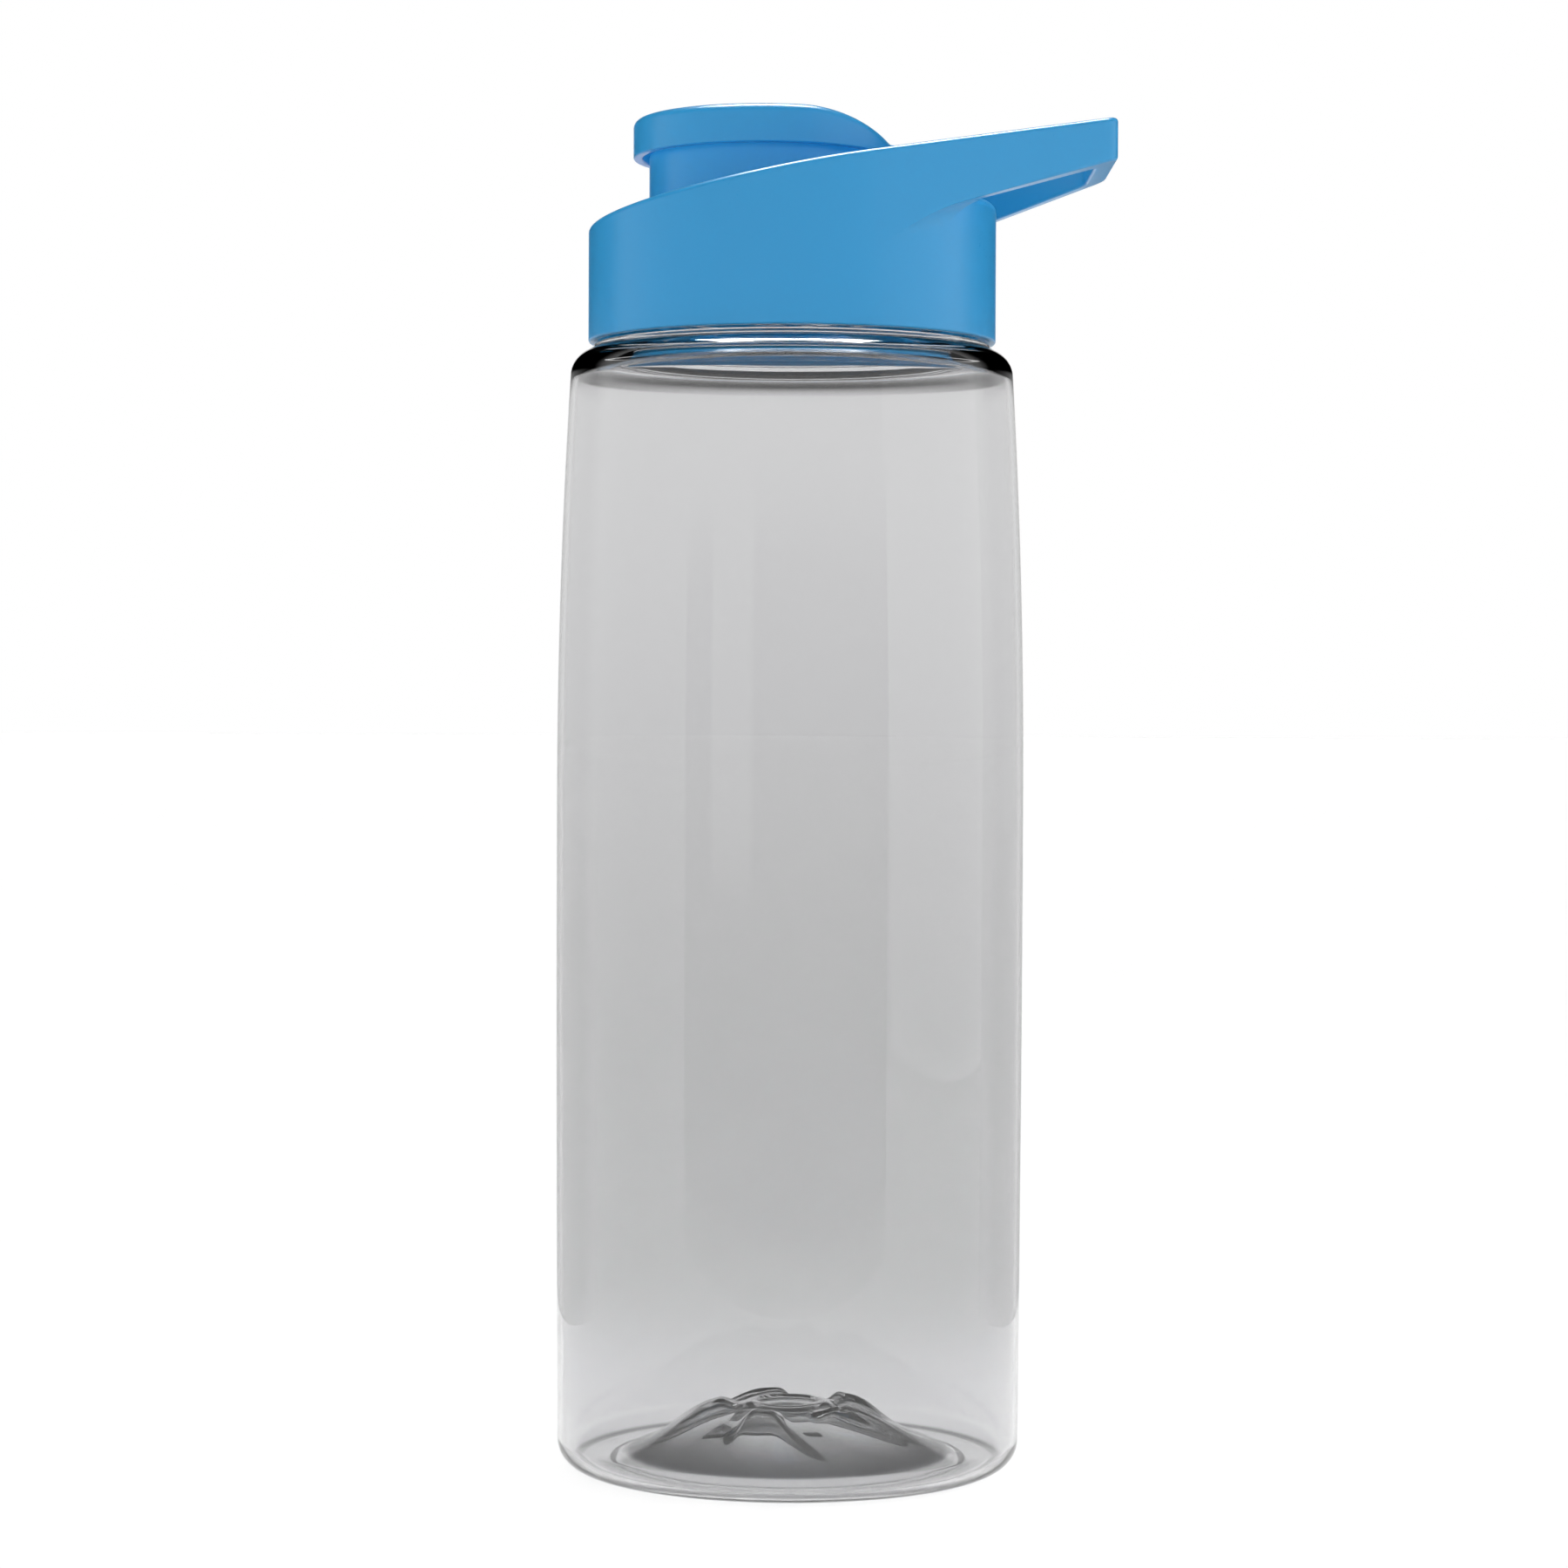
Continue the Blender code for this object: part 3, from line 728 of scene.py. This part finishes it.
def recess_outline(sizes):
    """Return the plan of the recess between the side walls, through to the loop's end."""
    steps_left = round((180 - HOLE_LEAD_DEGREES) * LID_STEPS / 360)
    around = arc((0.0, 0.0), RECESS_RADIUS, 180, HOLE_LEAD_DEGREES, steps_left)[1:]
    lead = Vector(around[-1])
    passing = Vector(arc((0.0, 0.0), sizes.skirt_radius, HOLE_PASS_DEGREES, 0, 1)[0])
    slope = (passing.y - lead.y) / (passing.x - lead.x)
    slant = math.atan(slope)
    corner_x = HOLE_END_X - HOLE_CORNER
    corner_y = passing.y + slope * (corner_x - passing.x) - HOLE_CORNER / math.cos(slant)
    corner = arc((corner_x, corner_y), HOLE_CORNER, 90 + math.degrees(slant), 0, 8)
    return [(-RECESS_RADIUS, 0.0)] + mirrored(around + [tuple(passing)] + corner)


def lug_outline():
    """Return a hinge lug's side view, with a round top about the hinge axis."""
    top = arc((HINGE_X, HINGE_Z), LUG_RADIUS, 0, 180, 20)
    return [(HINGE_X + LUG_RADIUS, LUG_FOOT_Z)] + top + [(HINGE_X - LUG_RADIUS, LUG_FOOT_Z)]


def loop_underside(x):
    """Return the height of the carry loop's lower face."""
    return LOOP_FOOT_Z + LOOP_SLOPE * (x - LOOP_FOOT_X)


def pin_hole_outline():
    """Return the side view of the hinge pin's hole."""
    return [(HINGE_X + x, HINGE_Z + z) for x, z in circle(PIN_HOLE_RADIUS, steps=32)]


def reach(place, center_x=0.0):
    """Return a place's distance from the bottle's axis, or from another upright one."""
    return math.hypot(place.x - center_x, place.y)


def lid_blank(sizes, rim, deck):
    """Return the lid's outer form with its recess and finger hole."""
    lid = prism(lid_outline(sizes), plane(sizes.skirt_bottom_z), rim)
    low, high = plane(CUT_LOW_Z), plane(CUT_HIGH_Z)
    guard_low, guard_high = plane(CUT_LOW_Z - FAR), plane(CUT_HIGH_Z + FAR)
    skirt = circle(sizes.skirt_radius)
    tangent_x = sizes.skirt_radius * math.cos(math.radians(TANGENT_DEGREES))
    below = [(tangent_x, -FAR), (FAR, -FAR), (FAR, FAR), (tangent_x, FAR)]
    under_loop = combine(prism(below, low, loop_underside), prism(skirt, guard_low, guard_high))

    def inner_top(place):
        return near(reach(place), sizes.skirt_radius) and near(place.z, loop_underside(place.x))

    round_edges(under_loop, 3.0 * MM, 7, inner_top)
    lid = combine(lid, under_loop)
    recess = combine(prism(recess_outline(sizes), low, high), prism(skirt, guard_low, deck))
    return combine(lid, recess)


def thread_ridge(root_radius, crest_radius, start_z):
    """Return a ridge of trapezium section that climbs to the left, a right-hand thread."""
    half_root, half_crest = 1.2 * MM, 0.5 * MM
    section = [
        (root_radius, start_z - half_root),
        (crest_radius, start_z - half_crest),
        (crest_radius, start_z + half_crest),
        (root_radius, start_z + half_root),
    ]
    steps = round(THREAD_TURNS * 64)
    bm = bmesh.new()
    face = bm.faces.new([bm.verts.new((radius, 0, z)) for radius, z in section])
    bmesh.ops.spin(
        bm,
        geom=[face],
        cent=(0, 0, 0),
        axis=(0, 0, 1),
        dvec=(0, 0, THREAD_TURNS * PITCH / steps),
        angle=THREAD_TURNS * math.tau,
        steps=steps,
    )
    bmesh.ops.recalc_face_normals(bm, faces=bm.faces)
    return bm


def hinge_lugs():
    """Return both hinge lugs with the pin's hole through them."""
    right = side_prism(lug_outline(), -LUG_OUTER_Y, -LUG_INNER_Y)
    lugs = combine(side_prism(lug_outline(), LUG_INNER_Y, LUG_OUTER_Y), right, "UNION")
    past_lugs = LUG_OUTER_Y + 5 * MM
    return combine(lugs, side_prism(pin_hole_outline(), -past_lugs, past_lugs))


def soften_lid(lid, sizes, rim, deck):
    """Round the lid's edges, each group to its own width."""
    lug_y = (LUG_INNER_Y + LUG_OUTER_Y) / 2
    lug_half = (LUG_OUTER_Y - LUG_INNER_Y) / 2

    def on_deck(place, radius, center_x=0.0):
        return near(place.z, deck(place.x)) and near(reach(place, center_x), radius)

    def on_lug(place):
        beside = near(abs(place.y), lug_y, lug_half + 0.1 * MM)
        return beside and place.z > LUG_SOFT_Z and near(place.x, HINGE_X, LUG_RADIUS + 0.1 * MM)

    # Each group's width in millimetres, its segments, and the test of its edges' ends.
    groups = (
        (1.6, 6, lambda p: on_deck(p, sizes.skirt_radius) and p.x > HOLE_LIP_X),
        (0.8, 5, lambda p: near(p.z, rim(p.x))),
        (0.6, 4, lambda p: near(p.z, loop_underside(p.x))),
        (0.35, 4, lambda p: near(p.z, sizes.skirt_bottom_z)),
        (0.55, 4, lambda p: near(p.z, sizes.spout_top_z)),
        (0.7, 4, lambda p: on_deck(p, sizes.spout_radius, SPOUT_X)),
        (0.7, 4, lambda p: on_deck(p, RECESS_RADIUS)),
        (0.4, 3, on_lug),
    )
    for width, segments, test in groups:
        round_edges(lid, width * MM, segments, test)


def make_lid(sizes):
    """Cut the lid from its blank, add the spout, thread and lugs, and round its edges."""
    rim = plane(sizes.rim_z, sizes.rim_slope)
    deck = plane(sizes.deck_z, sizes.deck_slope)
    lid = lid_blank(sizes, rim, deck)
    foot_z = deck(SPOUT_X - sizes.spout_radius) - SPOUT_SINK
    spout = prism(circle(sizes.spout_radius, SPOUT_X), plane(foot_z), plane(sizes.spout_top_z))
    lid = combine(lid, spout, "UNION")
    inner_radius = sizes.skirt_radius - sizes.skirt_wall
    low = plane(CUT_LOW_Z)
    lid = combine(lid, prism(circle(inner_radius), low, plane(LAND_Z)))
    lid = combine(lid, prism(circle(LAND_INNER_RADIUS), low, lambda x: deck(x) - DECK_WALL))
    lid = combine(lid, prism(circle(sizes.spout_bore, SPOUT_X), low, plane(CUT_HIGH_Z)))
    ridge = thread_ridge(inner_radius + 0.3 * MM, inner_radius - THREAD_DEPTH, LID_THREAD_Z)
    lid = combine(lid, ridge, "UNION")
    lid = combine(lid, hinge_lugs(), "UNION")
    bmesh.ops.remove_doubles(lid, verts=lid.verts, dist=0.06 * MM)
    bmesh.ops.dissolve_degenerate(lid, edges=lid.edges, dist=0.01 * MM)
    soften_lid(lid, sizes, rim, deck)
    return lid


CAP_STEPS = 144
CREST_X = 1.0 * MM
SLOPE_RADIUS = 28.2 * MM
SLOPE_END_X = 15.6 * MM
PLUG_RADIUS = 14.1 * MM
PLUG_FLANGE_RADIUS = 15.0 * MM
PLUG_BORE_RADIUS = 12.6 * MM
PLUG_BOTTOM_Z = 212.1 * MM
PLUG_FLANGE_TOP_Z = 212.5 * MM
PLUG_COLLAR_Z = 215.2 * MM
CEILING_Z = 218.0 * MM
KNUCKLE_RADIUS = 2.8 * MM
KNUCKLE_HALF_WIDTH = 6.0 * MM
WEB_INNER_X = 15.6 * MM
WEB_OUTER_X = 18.2 * MM
WEB_FOOT_Z = 213.5 * MM
WEB_TOP_Z = 215.1 * MM


def plug_section():
    """Return the plug's section from the ceiling round it and up its bore, with the ring's groove."""
    flange, bore = PLUG_FLANGE_RADIUS, PLUG_BORE_RADIUS
    profile = [
        (flange + 0.3 * MM, CEILING_Z),
        (flange, CEILING_Z - 0.3 * MM),
        (flange, PLUG_COLLAR_Z + 0.1 * MM),
        (flange - 0.1 * MM, PLUG_COLLAR_Z),
        (PLUG_RADIUS, PLUG_COLLAR_Z),
        (PLUG_RADIUS, PLUG_FLANGE_TOP_Z),
        (flange - 0.1 * MM, PLUG_FLANGE_TOP_Z),
        (flange, PLUG_FLANGE_TOP_Z - 0.1 * MM),
        (flange, PLUG_BOTTOM_Z + 0.2 * MM),
        (flange - 0.2 * MM, PLUG_BOTTOM_Z),
        (bore + 0.2 * MM, PLUG_BOTTOM_Z),
        (bore, PLUG_BOTTOM_Z + 0.2 * MM),
    ]
    profile += line((bore, PLUG_BOTTOM_Z + 0.8 * MM), (bore, CEILING_Z - 0.3 * MM), 5)
    return profile + [(bore, CEILING_Z - 0.3 * MM), (bore - 0.3 * MM, CEILING_Z)]


def cap_section(sizes):
    """Return the cap's section with its plug, from the top's middle round to the ceiling's."""
    radius, wall_x = sizes.radius, sizes.radius - sizes.wall
    edge_z = sizes.top_z - sizes.edge
    foot, fillet = 0.3 * MM, 0.6 * MM
    foot_z = sizes.bottom_z + foot
    top = arc((radius - sizes.edge, edge_z), sizes.edge, 90, 0, 7)
    profile = line((0.0, sizes.top_z), top[0], 14) + top
    profile += line((radius, edge_z - 0.4 * MM), (radius, foot_z), 5)
    profile += arc((radius - foot, foot_z), foot, 0, -90, 4)
    profile += arc((wall_x + foot, foot_z), foot, -90, -180, 4)
    profile += line((wall_x, sizes.bottom_z + 2 * foot), (wall_x, CEILING_Z - foot), 5)
    profile += arc((wall_x - fillet, CEILING_Z - fillet), fillet, 0, 90, 4)
    profile += plug_section()
    return profile + line((PLUG_BORE_RADIUS * 0.9, CEILING_Z), (0.0, CEILING_Z), 9) + [(0.0, CEILING_Z)]


def slope_drop(x):
    """Return how far the cap's top lies under its crest at a place behind it."""
    along = min(max(x - CREST_X, 0.0), SLOPE_END_X - CREST_X)
    return SLOPE_RADIUS - math.sqrt(SLOPE_RADIUS ** 2 - along ** 2)


def make_cap(sizes):
    """Turn the cap with its plug, slope its back and add the hinge's knuckle."""
    bm = spun(cap_section(sizes), CAP_STEPS)
    bmesh.ops.translate(bm, vec=(SPOUT_X, 0, 0), verts=bm.verts)
    for vert in bm.verts:
        inside_groove = math.hypot(vert.co.x - SPOUT_X, vert.co.y) < PLUG_FLANGE_RADIUS + 0.1 * MM
        fixed_z = PLUG_COLLAR_Z + 0.1 * MM if inside_groove else sizes.bottom_z
        share = min(max((vert.co.z - fixed_z) / (CEILING_Z - 0.3 * MM - fixed_z), 0.0), 1.0)
        vert.co.z -= share * slope_drop(vert.co.x)
    knuckle = arc((HINGE_X, HINGE_Z), KNUCKLE_RADIUS, -150, 90, 24)
    web = [(WEB_INNER_X, WEB_TOP_Z), (WEB_INNER_X, WEB_FOOT_Z), (WEB_OUTER_X, WEB_FOOT_Z)]
    hinge = side_prism(knuckle + web, -KNUCKLE_HALF_WIDTH, KNUCKLE_HALF_WIDTH)

    def at_end(place):
        return near(abs(place.y), KNUCKLE_HALF_WIDTH) and place.x > WEB_INNER_X + 0.4 * MM

    round_edges(hinge, 0.3 * MM, 3, at_end)
    bm = combine(bm, hinge, "UNION")
    return combine(bm, side_prism(pin_hole_outline(), -FAR, FAR))


def make_gasket():
    """Turn the flat ring that seals on the neck, with rounded edges."""
    inner, outer = 27.4 * MM, (GASKET_HIGH.x - GASKET_LOW.x) / 2
    low, high, edge = GASKET_LOW.z, GASKET_HIGH.z, 0.25 * MM
    profile = arc((outer - edge, high - edge), edge, 90, 0, 4)
    profile += arc((outer - edge, low + edge), edge, 0, -90, 4)
    profile += arc((inner + edge, low + edge), edge, -90, -180, 4)
    profile += arc((inner + edge, high - edge), edge, 180, 90, 4)
    return spun(profile, 144)


def make_seal_ring():
    """Turn the round ring that sits in the plug's groove."""
    cord = (SEAL_HIGH.z - SEAL_LOW.z) / 2
    ring = (SEAL_HIGH.x - SEAL_LOW.x) / 2 - cord
    bm = spun(arc((ring, SEAL_LOW.z + cord), cord, 360, 0, 24)[:-1], 120)
    bmesh.ops.translate(bm, vec=(SPOUT_X, 0, 0), verts=bm.verts)
    return bm


def make_pin():
    """Make the hinge pin, chamfered at both ends."""
    radius = (PIN_HIGH.x - PIN_LOW.x) / 2
    length_y = PIN_HIGH.y - PIN_LOW.y
    bm = bmesh.new()
    radii = {"radius1": radius, "radius2": radius}
    bmesh.ops.create_cone(bm, cap_ends=True, segments=48, depth=length_y, **radii)
    rims = [edge for edge in bm.edges if near(edge.verts[0].co.z, edge.verts[1].co.z)]
    bevel(bm, rims, 0.25 * MM, 3)
    turn = Matrix.Rotation(math.radians(90), 3, "X")
    bmesh.ops.rotate(bm, cent=(0, 0, 0), matrix=turn, verts=bm.verts)
    bmesh.ops.translate(bm, vec=(HINGE_X, 0, HINGE_Z), verts=bm.verts)
    return bm


class BOTTLE_OT_body(bpy.types.Operator):
    """Make the clear body with its neck, thread and push-up"""

    bl_idname = "bottle.body"
    bl_label = "Clear body"

    def execute(self, context):
        scene = context.scene
        material = shared_material("smoked_clear", smoke_plastic, scene.bottle_finish)
        bm = make_body(scene.bottle_body_sizes)
        finish_piece("clear_body", bm, material, "bottle", "bottle_body", 50)
        return {"FINISHED"}


class BOTTLE_OT_lid(bpy.types.Operator):
    """Make the screw lid with its spout, carry loop and hinge lugs"""

    bl_idname = "bottle.lid"
    bl_label = "Screw lid"

    def execute(self, context):
        scene = context.scene
        material = shared_material("satin_blue", blue_plastic, scene.bottle_finish)
        bm = make_lid(scene.bottle_lid_sizes)
        finish_piece("screw_lid", bm, material, "lid", "lid_shell")
        return {"FINISHED"}


class BOTTLE_OT_cap(bpy.types.Operator):
    """Make the flip cap with its plug and knuckle"""

    bl_idname = "bottle.cap"
    bl_label = "Flip cap"

    def execute(self, context):
        scene = context.scene
        material = shared_material("satin_blue", blue_plastic, scene.bottle_finish)
        bm = make_cap(scene.bottle_cap_sizes)
        finish_piece("spout_cap", bm, material, "cap", "flip_cap")
        return {"FINISHED"}


class BOTTLE_OT_seals(bpy.types.Operator):
    """Make the flat gasket and the plug's sealing ring"""

    bl_idname = "bottle.seals"
    bl_label = "Seals"

    def execute(self, context):
        material = shared_material("milky_rubber", silicone_rubber, context.scene.bottle_finish)
        finish_piece("neck_gasket", make_gasket(), material, "lid_seal", "lid_gasket")
        finish_piece("plug_ring", make_seal_ring(), material, "cap", "spout_seal")
        return {"FINISHED"}


class BOTTLE_OT_pin(bpy.types.Operator):
    """Make the hinge pin"""

    bl_idname = "bottle.pin"
    bl_label = "Hinge pin"

    def execute(self, context):
        material = shared_material("turned_white", pin_plastic, context.scene.bottle_finish)
        finish_piece("cap_pin", make_pin(), material, "lid", "hinge_pin")
        return {"FINISHED"}


class BOTTLE_OT_stage(bpy.types.Operator):
    """Make the floor, the lights and the camera"""

    bl_idname = "bottle.stage"
    bl_label = "Stage"

    def execute(self, context):
        make_stage(context.scene, context.scene.bottle_stage)
        return {"FINISHED"}


SUNS = {
    "ceiling_fill": {"place": (0, 0, 2.0), "strength": 2.6, "casts_shadow": False},
    "ceiling_soft": {"place": (0, 0, 2.0), "strength": 0.45, "casts_shadow": True},
    "front_fill": {"place": (0.0, -1.8, 0.8), "strength": 0.15, "casts_shadow": False},
    "left_fill": {"place": (-1.8, 0.2, 0.6), "strength": 0.65, "casts_shadow": False},
    "right_fill": {"place": (1.8, 0.2, 0.6), "strength": 0.50, "casts_shadow": False},
}
FLOOR_RADIUS = 40.0
FLOOR_DROP = 0.1 * MM


def make_stage(scene, settings):
    """Set a pale floor, soft lights and the camera."""
    make_camera(scene, settings)
    make_floor()
    make_world(scene, settings)
    make_front_card()
    make_flags()
    for name, sun in SUNS.items():
        add_sun(name, **sun)
    add_area("softbox_right", 82, (0.90, 0.70), distance=0.60, height=0.32, radiance=0.35)
    glint = add_area("top_glint", 180, (0.60, 0.36), distance=0.05, height=0.90, radiance=40.0)
    glint.visible_diffuse = False
    scene.view_settings.view_transform = "Standard"


def make_camera(scene, settings):
    """Place the camera in front of the bottle, a little above its middle."""
    data = bpy.data.cameras.new("camera")
    data.lens = settings.lens
    data.sensor_width = 36.0
    data.clip_start = 0.01
    camera = bpy.data.objects.new("camera", data)
    camera.location = (AXIS_X - settings.side, -settings.distance, settings.height)
    turn = Matrix.Rotation(math.radians(90 - settings.tilt), 4, "X")
    roll = Matrix.Rotation(math.radians(settings.roll), 4, "Z")
    camera.rotation_euler = (turn @ roll).to_euler()
    scene.collection.objects.link(camera)
    scene.camera = camera


def make_floor():
    """Lay a wide pale floor."""
    bm = bmesh.new()
    bmesh.ops.create_circle(bm, cap_ends=True, segments=96, radius=FLOOR_RADIUS)
    bmesh.ops.translate(bm, vec=(0, 0, -FLOOR_DROP), verts=bm.verts)
    floor = mesh_object("floor", bm)
    pale = Finish("pale_floor", Roughness=0.6, Specular_IOR_Level=0.0)
    pale.drive(Base_Color=pale.tone(pale.noise(30.0), [0.815] * 3, [0.830] * 3))
    floor.data.materials.append(pale.material)


def add_card(name, place, turn, width, heights, finish):
    """Stand a card up that only reflections show, turned about its own upright middle."""
    low_z, high_z = heights
    bm = bmesh.new()
    bmesh.ops.create_grid(bm, x_segments=1, y_segments=1, size=0.5)
    bmesh.ops.scale(bm, vec=(width, high_z - low_z, 1), verts=bm.verts)
    for degrees, axis in ((90, "X"), (turn, "Z")):
        rotation = Matrix.Rotation(math.radians(degrees), 3, axis)
        bmesh.ops.rotate(bm, cent=(0, 0, 0), matrix=rotation, verts=bm.verts)
    bmesh.ops.translate(bm, vec=(*place, (low_z + high_z) / 2), verts=bm.verts)
    card = mesh_object(name, bm)
    card.visible_camera = False
    card.visible_diffuse = False
    card.visible_transmission = False
    card.visible_shadow = False
    card.data.materials.append(finish.material)


def card_finish(name):
    """Return a black, matt finish that can be made to glow."""
    return Finish(name, Base_Color=(0, 0, 0, 1), Roughness=1.0, Specular_IOR_Level=0.0)


def glow(card, amount, dimmest):
    """Let a card glow from a grey to white as the amount goes from 0 to 1."""
    card.drive(Emission_Color=card.tone(amount, [dimmest] * 3, [1.0] * 3), Emission_Strength=1.0)


# Each pair is where the card's glow starts to change and where it is changed, as a height, or for
# the window's sides as a distance to the left of the bottle's axis.
WINDOW_LEFT = (140.0 * MM, 130.0 * MM)
WINDOW_RIGHT = (52.0 * MM, 62.0 * MM)
WINDOW_FOOT = (65.0 * MM, 105.0 * MM)
CARD_TOP = (155.0 * MM, 195.0 * MM)
CARD_FOOT = (36.0 * MM, 6.0 * MM)
CARD_DIMS = (120.0 * MM, 70.0 * MM)
CARD_DIMMING = -0.45
CARD_GREY = 0.45
CARD_SHIFT = 14.0 * MM
CARD_Y = -190.0 * MM
CARD_WIDTH = 404.0 * MM
CARD_HEIGHTS = (4.0 * MM, 196.0 * MM)


def make_front_card():
    """Stand a grey card before the bottle, with a bright window and ends that fade to white."""
    grey = card_finish("grey_card")
    across, upward = grey.along(0), grey.along(2)
    left_side = grey.step(across, *[AXIS_X - step for step in WINDOW_LEFT])
    right_side = grey.step(across, *[AXIS_X - step for step in WINDOW_RIGHT])
    window = left_side * right_side * grey.step(upward, *WINDOW_FOOT)
    ends = grey.step(upward, *CARD_TOP) + grey.step(upward, *CARD_FOOT)
    lower = grey.step(upward, *CARD_DIMS) * CARD_DIMMING
    glow(grey, window + ends + lower, CARD_GREY)
    add_card("front_card", (AXIS_X - CARD_SHIFT, CARD_Y), 0, CARD_WIDTH, CARD_HEIGHTS, grey)


FLAG_AZIMUTH = 128
FLAG_DISTANCE = 160.0 * MM
FLAG_WIDTH = 180.0 * MM
FLAG_HEIGHTS = (2.0 * MM, 320.0 * MM)
FLAG_STEP = (198.0 * MM, 190.0 * MM)
FLAG_EDGE = (65.0 * MM, 28.0 * MM)
FLAG_GREY = 0.62


def make_flags():
    """Stand a flag at each side behind the bottle, black by the lid and grey by the body."""
    dark = card_finish("dark_card")
    beside_body = dark.step(dark.along(2), *FLAG_STEP) * FLAG_GREY
    front_edge = dark.step(dark.along(1), *FLAG_EDGE)
    glow(dark, front_edge + beside_body * (1 - front_edge), 0.0)
    for name, azimuth in (("left_flag", -FLAG_AZIMUTH), ("right_flag", FLAG_AZIMUTH)):
        angle = math.radians(azimuth)
        place = (AXIS_X + FLAG_DISTANCE * math.sin(angle), -FLAG_DISTANCE * math.cos(angle))
        add_card(name, place, azimuth, FLAG_WIDTH, FLAG_HEIGHTS, dark)


# The sines of the elevations between which the room turns dark.
ROOM_DARKENS = (0.21, 0.34)
SUN_SPREAD = math.radians(110)


def make_world(scene, settings):
    """Light everything from a pale room that darkens overhead."""
    world = bpy.data.worlds.new("pale_room")
    world.use_nodes = True
    scene.world = world
    room = Graph(world.node_tree)
    background = room.tree.nodes["Background"]
    direction = room.node("ShaderNodeTexCoord", {}, {}, "Generated")
    height = room.node("ShaderNodeSeparateXYZ", {}, [direction], 2)
    strength = room.step(height, *ROOM_DARKENS, settings.backdrop, settings.ceiling)
    room.feed(background.inputs["Strength"], strength)
    background.inputs["Color"].default_value = (1.0, 1.0, 1.0, 1.0)


def add_light(name, kind, location, strength):
    """Add a light that shines at the middle of the bottle and isn't seen itself."""
    data = bpy.data.lights.new(name, kind)
    data.energy = strength
    light = bpy.data.objects.new(name, data)
    light.location = location
    aim = Vector((AXIS_X, 0, 0.12)) - light.location
    light.rotation_euler = aim.to_track_quat("-Z", "Y").to_euler()
    light.visible_camera = False
    light.visible_transmission = False
    bpy.context.scene.collection.objects.link(light)
    return light


def add_sun(name, place, strength, casts_shadow):
    """Add the even light of a wide pale ceiling or wall."""
    light = add_light(name, "SUN", place, strength)
    light.data.angle = SUN_SPREAD
    light.data.use_shadow = casts_shadow
    light.data.cycles.use_multiple_importance_sampling = casts_shadow
    light.visible_glossy = False


def add_area(name, azimuth, size, distance, height, radiance):
    """Stand a softbox round the bottle, its azimuth counted from the camera's side towards +X."""
    angle = math.radians(azimuth)
    place = Vector((AXIS_X + distance * math.sin(angle), -distance * math.cos(angle), height))
    light = add_light(name, "AREA", place, radiance * math.pi * size[0] * size[1])
    light.data.shape = "RECTANGLE"
    light.data.size, light.data.size_y = size
    return light


class BOTTLE_PT_panel(bpy.types.Panel):
    """The sidebar's list of what can be made"""

    bl_idname = "BOTTLE_PT_panel"
    bl_label = "Sports bottle"
    bl_space_type = "VIEW_3D"
    bl_region_type = "UI"
    bl_category = "Bottle"

    def draw(self, context):
        for operator in OPERATORS:
            self.layout.operator(operator.bl_idname)


GROUPS = {
    "bottle_body_sizes": BottleBodySizes,
    "bottle_lid_sizes": LidSizes,
    "bottle_cap_sizes": CapSizes,
    "bottle_finish": BottleFinish,
    "bottle_stage": StageSettings,
}
OPERATORS = (
    BOTTLE_OT_body,
    BOTTLE_OT_lid,
    BOTTLE_OT_cap,
    BOTTLE_OT_seals,
    BOTTLE_OT_pin,
    BOTTLE_OT_stage,
)


def register():
    """Register the classes and hang the settings on the scene."""
    for group in GROUPS.values():
        bpy.utils.register_class(group)
    for operator in OPERATORS:
        bpy.utils.register_class(operator)
    bpy.utils.register_class(BOTTLE_PT_panel)
    for name, group in GROUPS.items():
        setattr(bpy.types.Scene, name, bpy.props.PointerProperty(type=group))


def unregister():
    """Take the settings and the classes away again."""
    for name in GROUPS:
        delattr(bpy.types.Scene, name)
    bpy.utils.unregister_class(BOTTLE_PT_panel)
    for cls in (*OPERATORS, *GROUPS.values()):
        bpy.utils.unregister_class(cls)


def main():
    """Build the bottle and its stage."""
    register()
    bpy.ops.bottle.body()
    bpy.ops.bottle.lid()
    bpy.ops.bottle.cap()
    bpy.ops.bottle.seals()
    bpy.ops.bottle.pin()
    bpy.ops.bottle.stage()


if __name__ == "__main__":
    main()
